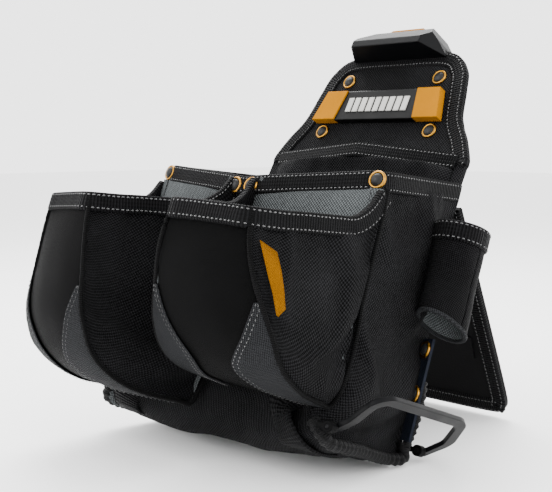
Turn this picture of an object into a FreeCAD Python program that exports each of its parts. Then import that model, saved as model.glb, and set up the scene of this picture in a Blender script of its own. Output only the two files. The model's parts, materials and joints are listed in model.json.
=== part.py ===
"""Electrician tool pouch that leans back on a hinged kickstand.

Millimetres. X points to the wearer's left as the pouch is looked at from the front
(+X on the viewer's right), Y points back, Z points up. The origin is the middle of
the heel on which the pouch stands. Most pieces are drawn in the pouch's own upright
frame, with the back panel's front face at y = 0, and are then leaned back together.
"""
import FreeCAD
import Part
import math
import os
import Sketcher
from FreeCAD import Placement, Rotation, Vector

SIZES = {
    # stance
    "lean": 21, "neck_bend": 9, "bend_height": 200, "heel_height": 1.5, "heel_behind": 5,
    # back panel
    "panel_half": 100, "panel_foot_half": 95, "panel_thick": 4, "panel_base": -4,
    "neck_top": 319, "neck_top_half": 48, "neck_waist_half": 79, "neck_waist": 262,
    "shoulder": 222, "neck_shoulder": 15,
    "webbing_thick": 1.2, "webbing_show": 12,
    # neck badge
    "badge_low": 254, "badge_high": 281, "badge_low_half": 65, "badge_high_half": 58.5,
    "badge_deep": 6, "badge_cap_low": 24, "badge_cap_high": 22, "badge_cap_proud": 1.2,
    "badge_rib_count": 9, "badge_rib_wide": 5.4, "badge_rib_gap": 1.8, "badge_rib_tall": 13,
    "badge_rib_proud": 0.8,
    # rivets
    "rivet_ring": 6.4, "rivet_cap": 4.8, "rivet_ring_tall": 1.6, "rivet_cap_tall": 3.2,
    "rivet_high": 295, "rivet_high_half": 47, "rivet_low": 246.5, "rivet_low_half": 56,
    "rim_rivet_far": 101,
    # clip hub on top of the neck
    "hub_front_half": 35, "hub_wing_half": 48, "hub_wing_low": 313, "hub_front_low": 313,
    "hub_front_high": 319, "hub_top": 337, "hub_reach": 25, "hub_back": 14,
    "hub_top_half": 30,
    "neck_slot_gap": 0.6,
    "belt_hook_back": 22, "belt_hook_thick": 4, "belt_hook_low": 258, "belt_hook_half": 27,
    "button_half": 19, "button_deep": 9, "button_tall": 7, "button_proud": 4,
    "button_stroke": 2, "button_gap": 0.3, "spring_radius": 3, "spring_wire": 0.5,
    "receiver_thick": 3, "receiver_half": 40, "receiver_low": 262,
    # flat pocket on the panel
    "flat_half": 92, "flat_low": 150, "flat_high": 219, "flat_rim_tall": 13,
    "flat_gap": 9, "flat_wall": 2, "flat_sag": 5,
    # main bag
    "bag_half": 109, "bag_foot_half": 116, "bag_corner": 92, "bag_middle": 110,
    "bag_notch_half": 8, "bag_wall": 2.4, "lining_wall": 1.2, "rim_tall": 14,
    "rim_middle": 165, "rim_corner": 178, "rim_panel": 203, "bag_belly": 87,
    "bag_belly_height": 60, "bag_toe": 98, "bag_toe_height": 12, "bag_sole": -19, "bag_sole_right": -9,
    "rim_proud": 1.2,
    "piping_wide": 9, "piping_deep": 5, "piping_proud": 2.6, "strap_wide": 25, "strap_thick": 1.2,
    # nail pockets
    "nail_reach": 97, "nail_front_half": 30, "nail_back_half": 50, "nail_wall": 2,
    "nail_front_high": 119, "nail_floor": 18, "nail_floor_left": -3, "nail_rim_tall": 12.5,
    "nail_lift": 168, "nail_foot_half": 47, "patch_thick": 1, "patch_tall": 50,
    "tag_wide": 15, "tag_tall": 36, "tag_thick": 1,
    # side sleeve
    "sleeve_in": 105, "sleeve_back": -11, "sleeve_wide": 17, "sleeve_long": 20,
    "sleeve_low": 94, "sleeve_high": 152, "sleeve_wall": 2, "sleeve_rim_tall": 14,
    # rear edge strip
    "strip_low": 13, "strip_high": 86, "strip_wide": 14, "strip_thick": 2, "strip_turn": 25,
    "strip_rivet_high": 78, "strip_rivet_low": 46,
    # hammer loop
    "loop_hinge": 110, "loop_hinge_high": 9, "loop_front": -93, "loop_back": 29, "loop_skew": 6,
    "loop_out": 48, "loop_bar_wide": 8, "loop_bar_thick": 3.2, "loop_tilt": 35,
    "loop_pin": 1.5, "loop_pin_gap": 0.05, "loop_pin_long": 7, "loop_ear_radius": 4,
    # kickstand
    "stand_hinge_high": 192, "stand_hinge_back": 11, "stand_open": 25, "stand_long": 194,
    "stand_top_half": 95, "stand_foot_half": 91, "stand_thick": 4, "stand_round": 13,
    "stand_web_wide": 13, "stand_web_drop": 9, "rod_radius": 2.5, "rod_gap": 0.05,
    "knuckle_radius": 5.5, "knuckle_long": 34, "knuckle_gap": 0.6,
    "stay_wide": 20, "stay_thick": 1.4, "stay_high": 62, "stay_down": 120,
    "stay_gap": 0.6,
    # general
    "soft_gap": 0.4, "far_off": 400,
}

doc = FreeCAD.newDocument("tool_pouch")
sheet = doc.addObject("Spreadsheet::Sheet", "size")
for row, (alias, number) in enumerate(SIZES.items(), start=1):
    sheet.set(f"A{row}", alias)
    sheet.set(f"B{row}", str(number))
    sheet.setAlias(f"B{row}", alias)
doc.recompute()

PLANES = {
    "plan": Rotation(),
    "front": Rotation(Vector(1, 0, 0), 90),
    "side": Rotation(Vector(1, 1, 1), 120),
}
nodes = []


def value(expression):
    """The number that an expression of sizes gives now."""
    return float(sheet.evalExpression(fully(expression)))


def fully(expression):
    """An expression in which each word is a size on the sheet."""
    words = []
    word = ""
    for letter in expression + " ":
        if letter.isalpha() or letter == "_":
            word += letter
            continue
        words.append(f"size.{word}" if word in SIZES and words[-1:] != ["."] else word)
        words.append(letter)
        word = ""
    return "".join(words).strip()


def outline(name, plane, corners):
    """A closed sketch through corners (across, up[, radius]), each one tied to the sheet."""
    sketch = doc.addObject("Sketcher::SketchObject", name)
    sketch.Placement = Placement(Vector(), PLANES[plane])
    corners = [[fully(part) for part in corner] for corner in corners]
    count = len(corners)
    points = [Vector(value(corner[0]), value(corner[1]), 0) for corner in corners]
    starts, ends, middles = [], [], []
    for index, corner in enumerate(corners):
        point = points[index]
        before = (points[index - 1] - point).normalize()
        after = (points[(index + 1) % count] - point).normalize()
        radius = value(corner[2]) if len(corner) > 2 else 0
        half = before.getAngle(after) / 2
        bisector = (before + after).normalize() if radius else Vector()
        starts.append(point + before * (radius / math.tan(half)))
        ends.append(point + after * (radius / math.tan(half)))
        middles.append(point + bisector * (radius / math.sin(half) - radius))
    lines = []
    for index in range(count):
        following = starts[(index + 1) % count]
        lines.append(sketch.addGeometry(Part.LineSegment(ends[index], following)))
    for index, corner in enumerate(corners):
        arriving, leaving = lines[index - 1], lines[index]
        if len(corner) == 2:
            sketch.addConstraint(Sketcher.Constraint("Coincident", arriving, 2, leaving, 1))
            fix_point(sketch, leaving, corner)
        else:
            round_corner(sketch, arriving, leaving, corner, points[index],
                         (starts[index], middles[index], ends[index]))
    return sketch


def fix_point(sketch, geometry, corner):
    """Tie the start of a piece of a sketch to the sheet."""
    for kind, expression in zip(("DistanceX", "DistanceY"), corner):
        place = Sketcher.Constraint(kind, -1, 1, geometry, 1, value(expression))
        number = sketch.addConstraint(place)
        sketch.setExpression(f"Constraints[{number}]", expression)


def round_corner(sketch, arriving, leaving, corner, point, arc_points):
    """Round one corner of a sketch, and keep the corner itself where the sheet puts it."""
    start, middle, end = arc_points
    inward = (middle - start).cross(end - middle).z < 0
    arc = sketch.addGeometry(Part.Arc(end, middle, start) if inward else Part.Arc(start, middle, end))
    near, away = (2, 1) if inward else (1, 2)
    sketch.addConstraint(Sketcher.Constraint("Tangent", arriving, 2, arc, near))
    sketch.addConstraint(Sketcher.Constraint("Tangent", arc, away, leaving, 1))
    number = sketch.addConstraint(Sketcher.Constraint("Radius", arc, value(corner[2])))
    sketch.setExpression(f"Constraints[{number}]", corner[2])
    corner_point = sketch.addGeometry(Part.Point(point), True)
    sketch.addConstraint(Sketcher.Constraint("PointOnObject", corner_point, 1, arriving))
    sketch.addConstraint(Sketcher.Constraint("PointOnObject", corner_point, 1, leaving))
    fix_point(sketch, corner_point, corner)


def prism(name, plane, corners, start, end):
    """An outline pushed from start to end: up from plan, forward from front, +X from side."""
    solid = doc.addObject("Part::Extrusion", name)
    solid.Base = outline(name + "_outline", plane, corners)
    solid.DirMode = "Normal"
    solid.Solid = True
    solid.setExpression("LengthFwd", fully(end))
    solid.setExpression("LengthRev", fully(f"-({start})"))
    return solid


def cylinder(name, radius, length, placement):
    """A round bar whose radius and length come from the sheet."""
    bar = doc.addObject("Part::Cylinder", name)
    bar.setExpression("Radius", fully(radius))
    bar.setExpression("Height", fully(length))
    bar.Placement = placement
    return bar


def common(name, *solids):
    """What all the solids share."""
    shared = doc.addObject("Part::MultiCommon", name)
    shared.Shapes = list(solids)
    return shared


def joined(name, *solids):
    """The solids as one."""
    union = doc.addObject("Part::MultiFuse", name)
    union.Shapes = list(solids)
    return union


def cut(name, base, tool):
    """The base without the tool."""
    rest = doc.addObject("Part::Cut", name)
    rest.Base = base
    rest.Tool = tool
    return rest


def group(name, *solids):
    """Separate solids that share one node."""
    together = doc.addObject("Part::Compound", name)
    together.Links = list(solids)
    return together


def placed(solid, placement):
    """The same object, put at a placement inside a larger piece."""
    solid.Placement = placement
    return solid


def node(solid, label, placement):
    """Name a finished sub-part and put it in its place on the standing pouch."""
    solid.Label = label
    solid.Placement = placement
    nodes.append(solid)


def mirrored_corners(right_side):
    """A closed outline that is the same on both sides of x = 0, from its right half."""
    left_side = [[f"-({corner[0]})"] + list(corner[1:]) for corner in reversed(right_side)]
    return list(right_side) + left_side


def turn(axis, degrees):
    return Rotation(Vector(*axis), degrees)


ACROSS, BACKWARD, UPWARD = (1, 0, 0), (0, 1, 0), (0, 0, 1)

# Where the frames stand: the panel's lower back edge is on the heel, over the origin.
lean_turn = turn(ACROSS, -value("lean"))
heel_corner = Vector(0, value("panel_thick"), value("panel_base"))
UPRIGHT = Placement()
LEANED = Placement(Vector(0, 0, value("heel_height")) - lean_turn.multVec(heel_corner), lean_turn)
bend_line = Vector(0, 0, value("bend_height"))
bend_turn = turn(ACROSS, -value("neck_bend"))
BEND = Placement(bend_line - bend_turn.multVec(bend_line), bend_turn)
NECK = LEANED.multiply(BEND)


# ---------------------------------------------------------------- back panel
def neck_corners(inset):
    """The neck's outline above the bend, drawn in by an inset."""
    return mirrored_corners([
        (f"panel_half - {inset}", "bend_height"),
        (f"panel_half - {inset}", f"shoulder - {inset}"),
        (f"neck_waist_half - {inset}", f"neck_waist - {inset}"),
        (f"neck_top_half + neck_shoulder - {inset}", "neck_top - neck_shoulder"),
        (f"neck_top_half - {inset}/2", f"neck_top - {inset}"),
    ])


def lower_corners(inset):
    """The panel's outline below the bend, drawn in by an inset."""
    return mirrored_corners([
        (f"panel_foot_half - {inset}", "panel_base"),
        (f"panel_half - {inset}", "bend_height"),
    ])


def back_panel():
    lower = prism("panel_lower", "front", lower_corners("0"), "-panel_thick", "0")
    upper = prism("panel_neck", "front", neck_corners("0"), "-panel_thick", "0")
    node(joined("panel", lower, placed(upper, BEND)), "back_panel", LEANED)


def neck_binding():
    """Webbing folded over the neck's edge: the band that shows on its front."""
    band = prism("binding_band", "front", neck_corners("0"), "0", "webbing_thick")
    window = prism("binding_window", "front", neck_corners("webbing_show"), "-1", "5")
    above = prism("binding_above", "front",
                  [("-150", "shoulder + 8"), ("150", "shoulder + 8"), ("150", "400"), ("-150", "400")],
                  "-1", "5")
    node(common("binding_front", cut("binding_ring", band, window), above), "neck_binding", NECK)


def badge():
    """A dark bar with two coloured ends and a row of plain raised ribs."""
    face = "webbing_thick"
    front = f"{face} + badge_deep"
    plate = prism("badge_bar", "front",
                  mirrored_corners([("badge_low_half - badge_cap_low", "badge_low"),
                                    ("badge_high_half - badge_cap_high", "badge_high")]),
                  face, front)
    node(plate, "badge_plate", NECK)
    for side, label in (("", "right"), ("-1*", "left")):
        end = prism(f"badge_end_{label}", "front",
                    [(f"{side}(badge_low_half - badge_cap_low)", "badge_low"),
                     (f"{side}badge_low_half", "badge_low"),
                     (f"{side}badge_high_half", "badge_high"),
                     (f"{side}(badge_high_half - badge_cap_high)", "badge_high")],
                    face, f"{front} + badge_cap_proud")
        node(end, f"badge_end_{label}", NECK)
    ribs = []
    count = int(value("badge_rib_count"))
    middle = "(badge_low + badge_high)/2"
    for index in range(count):
        centre = f"({index - (count - 1) / 2})*(badge_rib_wide + badge_rib_gap)"
        ribs.append(prism(f"badge_rib_{index}", "front",
                          [(f"{centre} - badge_rib_wide/2", f"{middle} - badge_rib_tall/2"),
                           (f"{centre} + badge_rib_wide/2", f"{middle} - badge_rib_tall/2"),
                           (f"{centre} + badge_rib_wide/2", f"{middle} + badge_rib_tall/2"),
                           (f"{centre} - badge_rib_wide/2", f"{middle} + badge_rib_tall/2")],
                          front, f"{front} + badge_rib_proud"))
    node(group("badge_rib_group", *ribs), "badge_ribs", NECK)


def rivets(label, seats, frame):
    """Rivets on the seats (place, direction they face): a low ring round a domed cap."""
    rings, caps = [], []
    for index, (place, facing) in enumerate(seats):
        seat = Placement(place, Rotation(Vector(0, 0, 1), facing))
        name = f"{label}_{index}"
        disc = cylinder(name + "_disc", "rivet_ring", "rivet_ring_tall", seat)
        hole = cylinder(name + "_hole", "rivet_cap", "rivet_ring_tall", seat)
        rings.append(cut(name + "_ring", disc, hole))
        dome = doc.addObject("Part::Cone", name + "_cap")
        dome.setExpression("Radius1", "size.rivet_cap")
        dome.setExpression("Radius2", "size.rivet_cap * 0.6")
        dome.setExpression("Height", "size.rivet_cap_tall")
        dome.Placement = seat
        caps.append(dome)
    node(group(label + "_ring_group", *rings), label + "_rings", frame)
    node(group(label + "_cap_group", *caps), label + "_caps", frame)


def neck_rivets():
    """Two rivets through the panel above the badge and two below it."""
    seats = []
    for half, high in (("rivet_high_half", "rivet_high"), ("rivet_low_half", "rivet_low")):
        for side in (-1, 1):
            seats.append((Vector(side * value(half), 0, value(high)), Vector(0, -1, 0)))
    rivets("neck_rivet", seats, NECK)


# ---------------------------------------------------------------- clip hub
def hub_corners(inset):
    """The hood's outline from the front."""
    return mirrored_corners([
        (f"hub_front_half - {inset}", f"hub_front_low + {inset}"),
        (f"hub_wing_half - {inset}", f"hub_wing_low + {inset}"),
        (f"hub_wing_half - 6 - {inset}", f"hub_front_high + 4 - {inset}/2"),
        (f"hub_top_half - {inset}", f"hub_top - {inset}"),
    ])


def hub():
    """A hood that straddles the top of the neck, and the hook behind it that takes a belt."""
    outside = prism("hub_face", "front", hub_corners("0"), "-hub_back", "hub_reach")
    side = prism("hub_side", "side",
                 [("-hub_reach", "hub_front_low - 4"), ("-hub_reach", "hub_front_high"),
                  ("-8", "hub_top"), ("hub_back", "hub_top"), ("hub_back", "hub_wing_low - 10"),
                  ("-3", "hub_wing_low - 10")],
                 "-70", "70")
    plan = prism("hub_plan", "plan",
                 mirrored_corners([("hub_front_half", "-hub_reach"), ("hub_wing_half", "-2"),
                                   ("hub_wing_half", "hub_back")]),
                 "200", "400")
    slot = prism("hub_slot", "side",
                 [("-webbing_thick - neck_slot_gap", "hub_wing_low - 30"),
                  ("-webbing_thick - neck_slot_gap", "neck_top + neck_slot_gap"),
                  ("panel_thick + receiver_thick + neck_slot_gap", "neck_top + neck_slot_gap"),
                  ("panel_thick + receiver_thick + neck_slot_gap", "hub_wing_low - 30")],
                 "-80", "80")
    well = prism("button_well", "front",
                 [("-button_half - button_gap", "hub_top - button_tall - button_stroke - 1"),
                  ("button_half + button_gap", "hub_top - button_tall - button_stroke - 1"),
                  ("button_half + button_gap", "hub_top + 20"),
                  ("-button_half - button_gap", "hub_top + 20")],
                 "-button_deep/2 - button_gap", "button_deep/2 + button_gap")
    hood = cut("hub_hollow", common("hub_block", outside, side, plan), joined("hub_cuts", slot, well))
    node(hood, "hub_hood", NECK)
    hook = prism("hook_bar", "front",
                 mirrored_corners([("belt_hook_half - 6", "belt_hook_low"),
                                   ("belt_hook_half", "belt_hook_low + 8"),
                                   ("belt_hook_half", "hub_wing_low")]),
                 "-belt_hook_back - belt_hook_thick", "-belt_hook_back")
    bridge = prism("hook_bridge", "front",
                   mirrored_corners([("belt_hook_half", "hub_wing_low"),
                                     ("belt_hook_half", "hub_top - 8")]),
                   "-belt_hook_back - belt_hook_thick", "-hub_back")
    node(joined("hub_hook_solid", hook, bridge), "belt_hook", NECK)


def release_button():
    base = "hub_top - button_tall + button_proud"
    button = prism("button_block", "front",
                   mirrored_corners([("button_half", base), ("button_half", "hub_top + button_proud/2"),
                                     ("button_half - 3", "hub_top + button_proud")]),
                   "-button_deep/2", "button_deep/2")
    node(button, "release_button", NECK)
    seat = Placement(Vector(0, 0, value("hub_top - button_tall - button_stroke - 1")),
                     Rotation())
    length = "button_stroke + 1 + button_proud"
    outer = cylinder("spring_outside", "spring_radius", length, seat)
    inner = cylinder("spring_inside", "spring_radius - spring_wire*2", length, seat)
    node(cut("spring_tube", outer, inner), "button_spring", NECK)


def receiver():
    """The plate behind the neck that the hub's hood slides onto."""
    plate = prism("receiver_block", "front",
                  mirrored_corners([("receiver_half - 8", "receiver_low"),
                                    ("receiver_half", "receiver_low + 10"),
                                    ("receiver_half", "neck_top")]),
                  "-panel_thick - receiver_thick", "-panel_thick")
    node(plate, "receiver_plate", NECK)


# ---------------------------------------------------------------- flat pocket
def flat_pocket():
    """A shallow pocket on the panel, open at the top, with a webbing rim."""
    def face(inset, high):
        return [(f"-flat_half + {inset}", f"flat_low + {inset}"),
                (f"flat_half - {inset}", f"flat_low + {inset}"),
                (f"flat_half - {inset}", f"{high} - flat_sag"), ("0", high),
                (f"-flat_half + {inset}", f"{high} - flat_sag")]
    outer = prism("flat_outside", "front", face("0", "flat_high"), "0", "flat_gap + flat_wall")
    inner = prism("flat_inside", "front", face("3", "flat_high + 20"), "-1", "flat_gap")
    above = prism("flat_above", "front",
                  [("-150", "bend_height - 2"), ("150", "bend_height - 2"), ("150", "far_off"), ("-150", "far_off")],
                  "-20", "40")
    below = prism("flat_below", "front",
                  [("-150", "0"), ("150", "0"), ("150", "bend_height"), ("-150", "bend_height")],
                  "-20", "40")
    shell = cut("flat_shell", outer, inner)
    lower = common("flat_shell_lower", shell, below)
    upper = common("flat_shell_upper", shell, above)
    node(joined("flat_shell_bent", lower, placed(upper, BEND)), "flat_pocket_face", LEANED)
    rim = prism("flat_rim", "front",
                [("-flat_half", "flat_high - flat_sag"),
                 ("0", "flat_high"),
                 ("flat_half", "flat_high - flat_sag"),
                 ("flat_half", "flat_high - flat_sag + flat_rim_tall"),
                 ("0", "flat_high + flat_rim_tall"),
                 ("-flat_half", "flat_high - flat_sag + flat_rim_tall")],
                "0", "flat_gap + flat_wall + webbing_thick")
    rim_gap = prism("flat_rim_gap", "front",
                    [("-flat_half + 3", "flat_high - 20"), ("flat_half - 3", "flat_high - 20"),
                     ("flat_half - 3", "flat_high + 30"), ("-flat_half + 3", "flat_high + 30")],
                    "webbing_thick + 0.2", "flat_gap")
    node(cut("flat_rim_band", rim, rim_gap), "flat_pocket_rim", NECK)


# ---------------------------------------------------------------- main bag
def bag_block(name, inset):
    """The bag's space to far above its rim: side view, plan and front view together."""
    side = prism(name + "_side", "side",
                 [("0", f"panel_base + {inset}"),
                  ("-bag_toe*0.34", f"panel_base*0.6 + bag_sole*0.4 + {inset}"),
                  ("-bag_toe*0.74", f"bag_sole + {inset}"),
                  (f"-bag_toe*0.93 + {inset}", f"bag_sole/2 + {inset}"),
                  (f"-bag_toe + {inset}", "bag_toe_height"), (f"-bag_belly + {inset}", "bag_belly_height"),
                  (f"-bag_middle + {inset}", "rim_middle - rim_tall"), (f"-bag_middle + {inset}", "300"),
                  ("0", "300")],
                 "-150", "150")
    plan = prism(name + "_plan", "plan",
                 mirrored_corners([(f"panel_half - {inset}", "0"),
                                   (f"bag_foot_half - {inset}", f"-bag_corner + {inset}/2"),
                                   ("bag_notch_half", f"-bag_middle + {inset}")]),
                 "-60", "300")
    front = prism(name + "_front", "front", bag_width(inset, "bag_sole", "bag_sole_right"), "-50", "200")
    return common(name, side, plan, front)


def bag_width(inset, left_low, right_low):
    """The bag's outline from the front, drawn in by an inset."""
    return [(f"-bag_foot_half + {inset}", f"{left_low} + {inset}"),
            (f"bag_foot_half - {inset}", f"{right_low} + {inset}"),
            (f"bag_half - {inset}", "rim_corner"), (f"bag_half - {inset}", "300"),
            (f"-bag_half + {inset}", "300"), (f"-bag_half + {inset}", "rim_corner")]


def below_rim(name, drop):
    """Everything under the bag's rim line, lowered by a drop."""
    return prism(name, "side",
                 [("50", "-60"), ("-200", "-60"), ("-200", f"rim_middle - {drop}"),
                  ("-bag_middle", f"rim_middle - {drop}"), ("-bag_corner", f"rim_corner - {drop}"),
                  ("0", f"rim_panel - {drop}"), ("50", f"rim_panel - {drop}")],
                 "-160", "160")


def main_bag():
    outer = bag_block("bag_outer", "0")
    middle = bag_block("bag_cloth_space", "bag_wall")
    inner = bag_block("bag_lining_space", "bag_wall + lining_wall")
    hollow = cut("bag_cloth", outer, middle)
    shell = common("bag_cloth_low", hollow, below_rim("bag_cloth_zone", "rim_tall"))
    width = bag_width("bag_wall", "bag_sole", "bag_sole_right")
    under = [("-bag_foot_half + bag_wall", "-60"), ("bag_foot_half - bag_wall", "-60")]
    band_zone = prism("bag_band_zone", "front", under + width[1:] + width[:1], "-50", "200")
    plan_zone = prism("bag_plan_zone", "plan",
                      mirrored_corners([("panel_half - bag_wall", "0"),
                                        ("bag_foot_half - bag_wall", "-bag_corner + bag_wall/2"),
                                        ("bag_foot_half - bag_wall", "-200")]),
                      "-60", "300")
    zone = common("bag_front_zone", band_zone, plan_zone)
    node(common("bag_front_cloth", shell, zone), "bag_front", LEANED)
    sides = cut("bag_sides", shell, zone)
    for sign, label in ((1, "right"), (-1, "left")):
        half = prism(f"gusset_half_{label}", "side", [("-far_off", "-far_off"), ("far_off", "-far_off"),
                                                      ("far_off", "far_off"), ("-far_off", "far_off")],
                     "0" if sign > 0 else "-far_off", "far_off" if sign > 0 else "0")
        node(common(f"gusset_{label}_cloth", sides, half), f"bag_gusset_{label}", LEANED)
    lining = cut("lining_cloth", middle, inner)
    node(common("lining_low", lining, below_rim("lining_zone", "rim_tall")), "bag_lining", LEANED)
    proud = bag_block("rim_outside", "-rim_proud")
    rim_hole = bag_block("rim_inside", "bag_wall + lining_wall + 0.6")
    band = common("rim_ring_low", cut("rim_ring", proud, rim_hole), below_rim("rim_upper_zone", "0"))
    rim = cut("rim_ring_band", band, below_rim("rim_lower_zone", "rim_tall"))
    node(cut("rim_ring_pierced", rim, rivet_room("bag_rim_room")), "bag_rim", LEANED)


def sole_skin(name, thick, zone, sign, inner, outer):
    """A layer on the bag's outside, in a side-view zone, at two distances in from a gusset's line."""
    strip = [(f"{sign}*(panel_half - {inner})", "5"), (f"{sign}*(bag_foot_half - {inner})", "-bag_corner"),
             (f"{sign}*(bag_foot_half - {inner})", "-200"),
             (f"{sign}*(bag_foot_half - ({outer}))", "-200"),
             (f"{sign}*(bag_foot_half - ({outer}))", "-bag_corner"),
             (f"{sign}*(panel_half - ({outer}))", "5")]
    cover = cut(name + "_cover", bag_block(name + "_grown", f"-{thick}"), doc.getObject("bag_outer"))
    return common(name, cover, prism(name + "_zone", "side", zone, "-160", "160"),
                  prism(name + "_strip", "plan", strip, "-60", "60"))


def binding_zone(low):
    """A strip along the gusset's lower edge, up to the toe."""
    rise = "piping_wide"
    return [("-12", "-60"), ("-200", "-60"), ("-200", "bag_toe_height"),
            ("-bag_toe + piping_wide", "bag_toe_height"),
            (f"-bag_toe*0.93 + {rise}", f"{low}/2 + {rise}"), ("-bag_toe*0.74", f"{low} + {rise}"),
            ("-bag_toe*0.34", f"panel_base*0.6 + {low}*0.4 + {rise}"), ("-12", f"panel_base + {rise}")]


def loop_room(name):
    """A notch in the binding for the hammer loop's front end."""
    room = prism(name, "plan",
                 [("-10", "loop_front - loop_pin_long - 1"), ("20", "loop_front - loop_pin_long - 1"),
                  ("20", "loop_front + loop_bar_wide + 4"), ("-10", "loop_front + loop_bar_wide + 4")],
                 "-loop_ear_radius - 1", "loop_ear_radius + 6")
    return placed(room, loop_line())


def loop_line():
    """The hammer loop's hinge line, level: X out from the gusset, Y back along it."""
    hinge = Vector(value("loop_hinge"), 0, value("loop_hinge_high"))
    return Placement(hinge, turn(UPWARD, value("loop_skew")))


def bag_trim():
    """Gathered binding round each gusset's seam, and the two straps under the sole."""
    low_front = [("-12", "-60"), ("-200", "-60"), ("-200", "bag_toe_height"), ("-12", "bag_toe_height")]
    straps = []
    for label, low, sign in (("right", "bag_sole_right", 1), ("left", "bag_sole", -1)):
        ring = sole_skin(f"piping_{label}", "piping_proud", binding_zone(low), sign, "piping_deep", "-20")
        node(cut(f"piping_{label}_notched", ring, loop_room(f"loop_room_{label}")),
             f"gathered_binding_{label}", LEANED)
        straps.append(sole_skin(f"strap_{label}", "strap_thick", low_front, sign,
                                "(piping_deep + strap_wide)", "piping_deep"))
    node(group("sole_strap_group", *straps), "sole_straps", LEANED)


def rim_rivet_seats():
    """Two rivets where the nail pockets meet the rim's middle, and one at each corner."""
    angle = nail_angle()
    start = Vector(value("bag_notch_half"), -value("bag_middle + rim_proud"), 0)
    corner = start + Vector(math.cos(angle), math.sin(angle), 0) * value("rim_rivet_far")
    slanted = Vector(math.sin(angle), -math.cos(angle), 0)
    seats = []
    for place, facing, rise in ((start, Vector(0, -1, 0), "rim_middle - rim_tall/2"),
                                (corner, slanted, "rim_corner - rim_tall/2")):
        for side in (-1, 1):
            seats.append((Vector(side * place.x, place.y, value(rise)),
                          Vector(side * facing.x, facing.y, 0)))
    return seats


def rivet_room(name):
    """The space that the rim's rivets take up in the webbing they go through."""
    rooms = []
    for index, (place, facing) in enumerate(rim_rivet_seats()):
        seat = Placement(place, Rotation(Vector(0, 0, 1), facing))
        rooms.append(cylinder(f"{name}_{index}", "rivet_ring + soft_gap/2", "rivet_cap_tall*2", seat))
    return group(name, *rooms)


# ---------------------------------------------------------------- nail pockets
def nail_angle():
    """How far each half of the bag's front turns back from the middle, in radians."""
    return math.atan2(value("bag_middle - bag_corner"), value("bag_foot_half - bag_notch_half"))


def nail_frame(side):
    """The nail pocket's own frame on the bag's front: -Y out of it, X along it."""
    middle = value("(bag_half + bag_notch_half)/2")
    back = (middle - value("bag_notch_half")) * math.tan(nail_angle())
    return Placement(Vector(side * middle, back - value("bag_middle"), 0),
                     turn(UPWARD, side * math.degrees(nail_angle())))


def nail_rim_line(drop):
    """The mouth's edge from the front to the bag, in the pocket's side view."""
    return [("-nail_reach - 20", f"nail_front_high - {drop}"), ("-nail_reach", f"nail_front_high - {drop}"),
            ("-nail_reach*0.62", f"nail_front_high + 6 - {drop}"),
            ("-nail_reach*0.36", f"nail_front_high + 13 - {drop}"),
            ("-nail_reach*0.18", f"nail_front_high + 23 - {drop}"),
            ("-nail_reach*0.06", f"nail_lift - 10 - {drop}"), ("20", f"nail_lift + 6 - {drop}")]


def tapered(name, low_corners, low, high_corners, high):
    """A solid between two plan outlines with the same number of corners."""
    sections = []
    for part, corners, height in (("foot", low_corners, low), ("top", high_corners, high)):
        section = outline(f"{name}_{part}", "plan", corners)
        section.setExpression("Placement.Base.z", fully(height))
        sections.append(section)
    solid = doc.addObject("Part::Loft", name)
    solid.Sections = sections
    solid.Solid = True
    solid.Ruled = True
    return solid


def nail_block(name, floor, inset):
    """The pocket's space as a solid, to well above its mouth."""
    side = prism(name + "_side", "side",
                 [("40", f"{floor} + 6 + {inset}"), ("0", f"{floor} + 2 + {inset}"),
                  ("-nail_reach*0.30", f"{floor} + {inset}"),
                  ("-nail_reach*0.52", f"{floor} + 4 + {inset}"),
                  (f"-nail_reach*0.70 + {inset}/2", f"{floor} + 12 + {inset}/2"),
                  (f"-nail_reach*0.83 + {inset}", f"{floor} + 26"),
                  (f"-nail_reach*0.91 + {inset}", f"{floor} + 45"),
                  (f"-nail_reach*0.96 + {inset}", f"{floor} + 70"),
                  (f"-nail_reach + {inset}", "nail_front_high - nail_rim_tall"),
                  (f"-nail_reach + {inset}", "nail_lift + 40"), ("40", "nail_lift + 40")],
                 "-80", "80")

    def plan(front_half):
        return mirrored_corners([(f"nail_back_half - {inset}", "45"), (f"nail_back_half - {inset}", "0"),
                                 (f"{front_half} - {inset}", "-nail_reach - 10")])
    walls = tapered(name + "_walls", plan("nail_foot_half"), "nail_floor_left - 20",
                    plan("nail_front_half"), "nail_front_high")
    above = prism(name + "_above", "plan", plan("nail_front_half"), "nail_front_high", "nail_lift + 60")
    return common(name, side, joined(name + "_column", walls, above))


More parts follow.
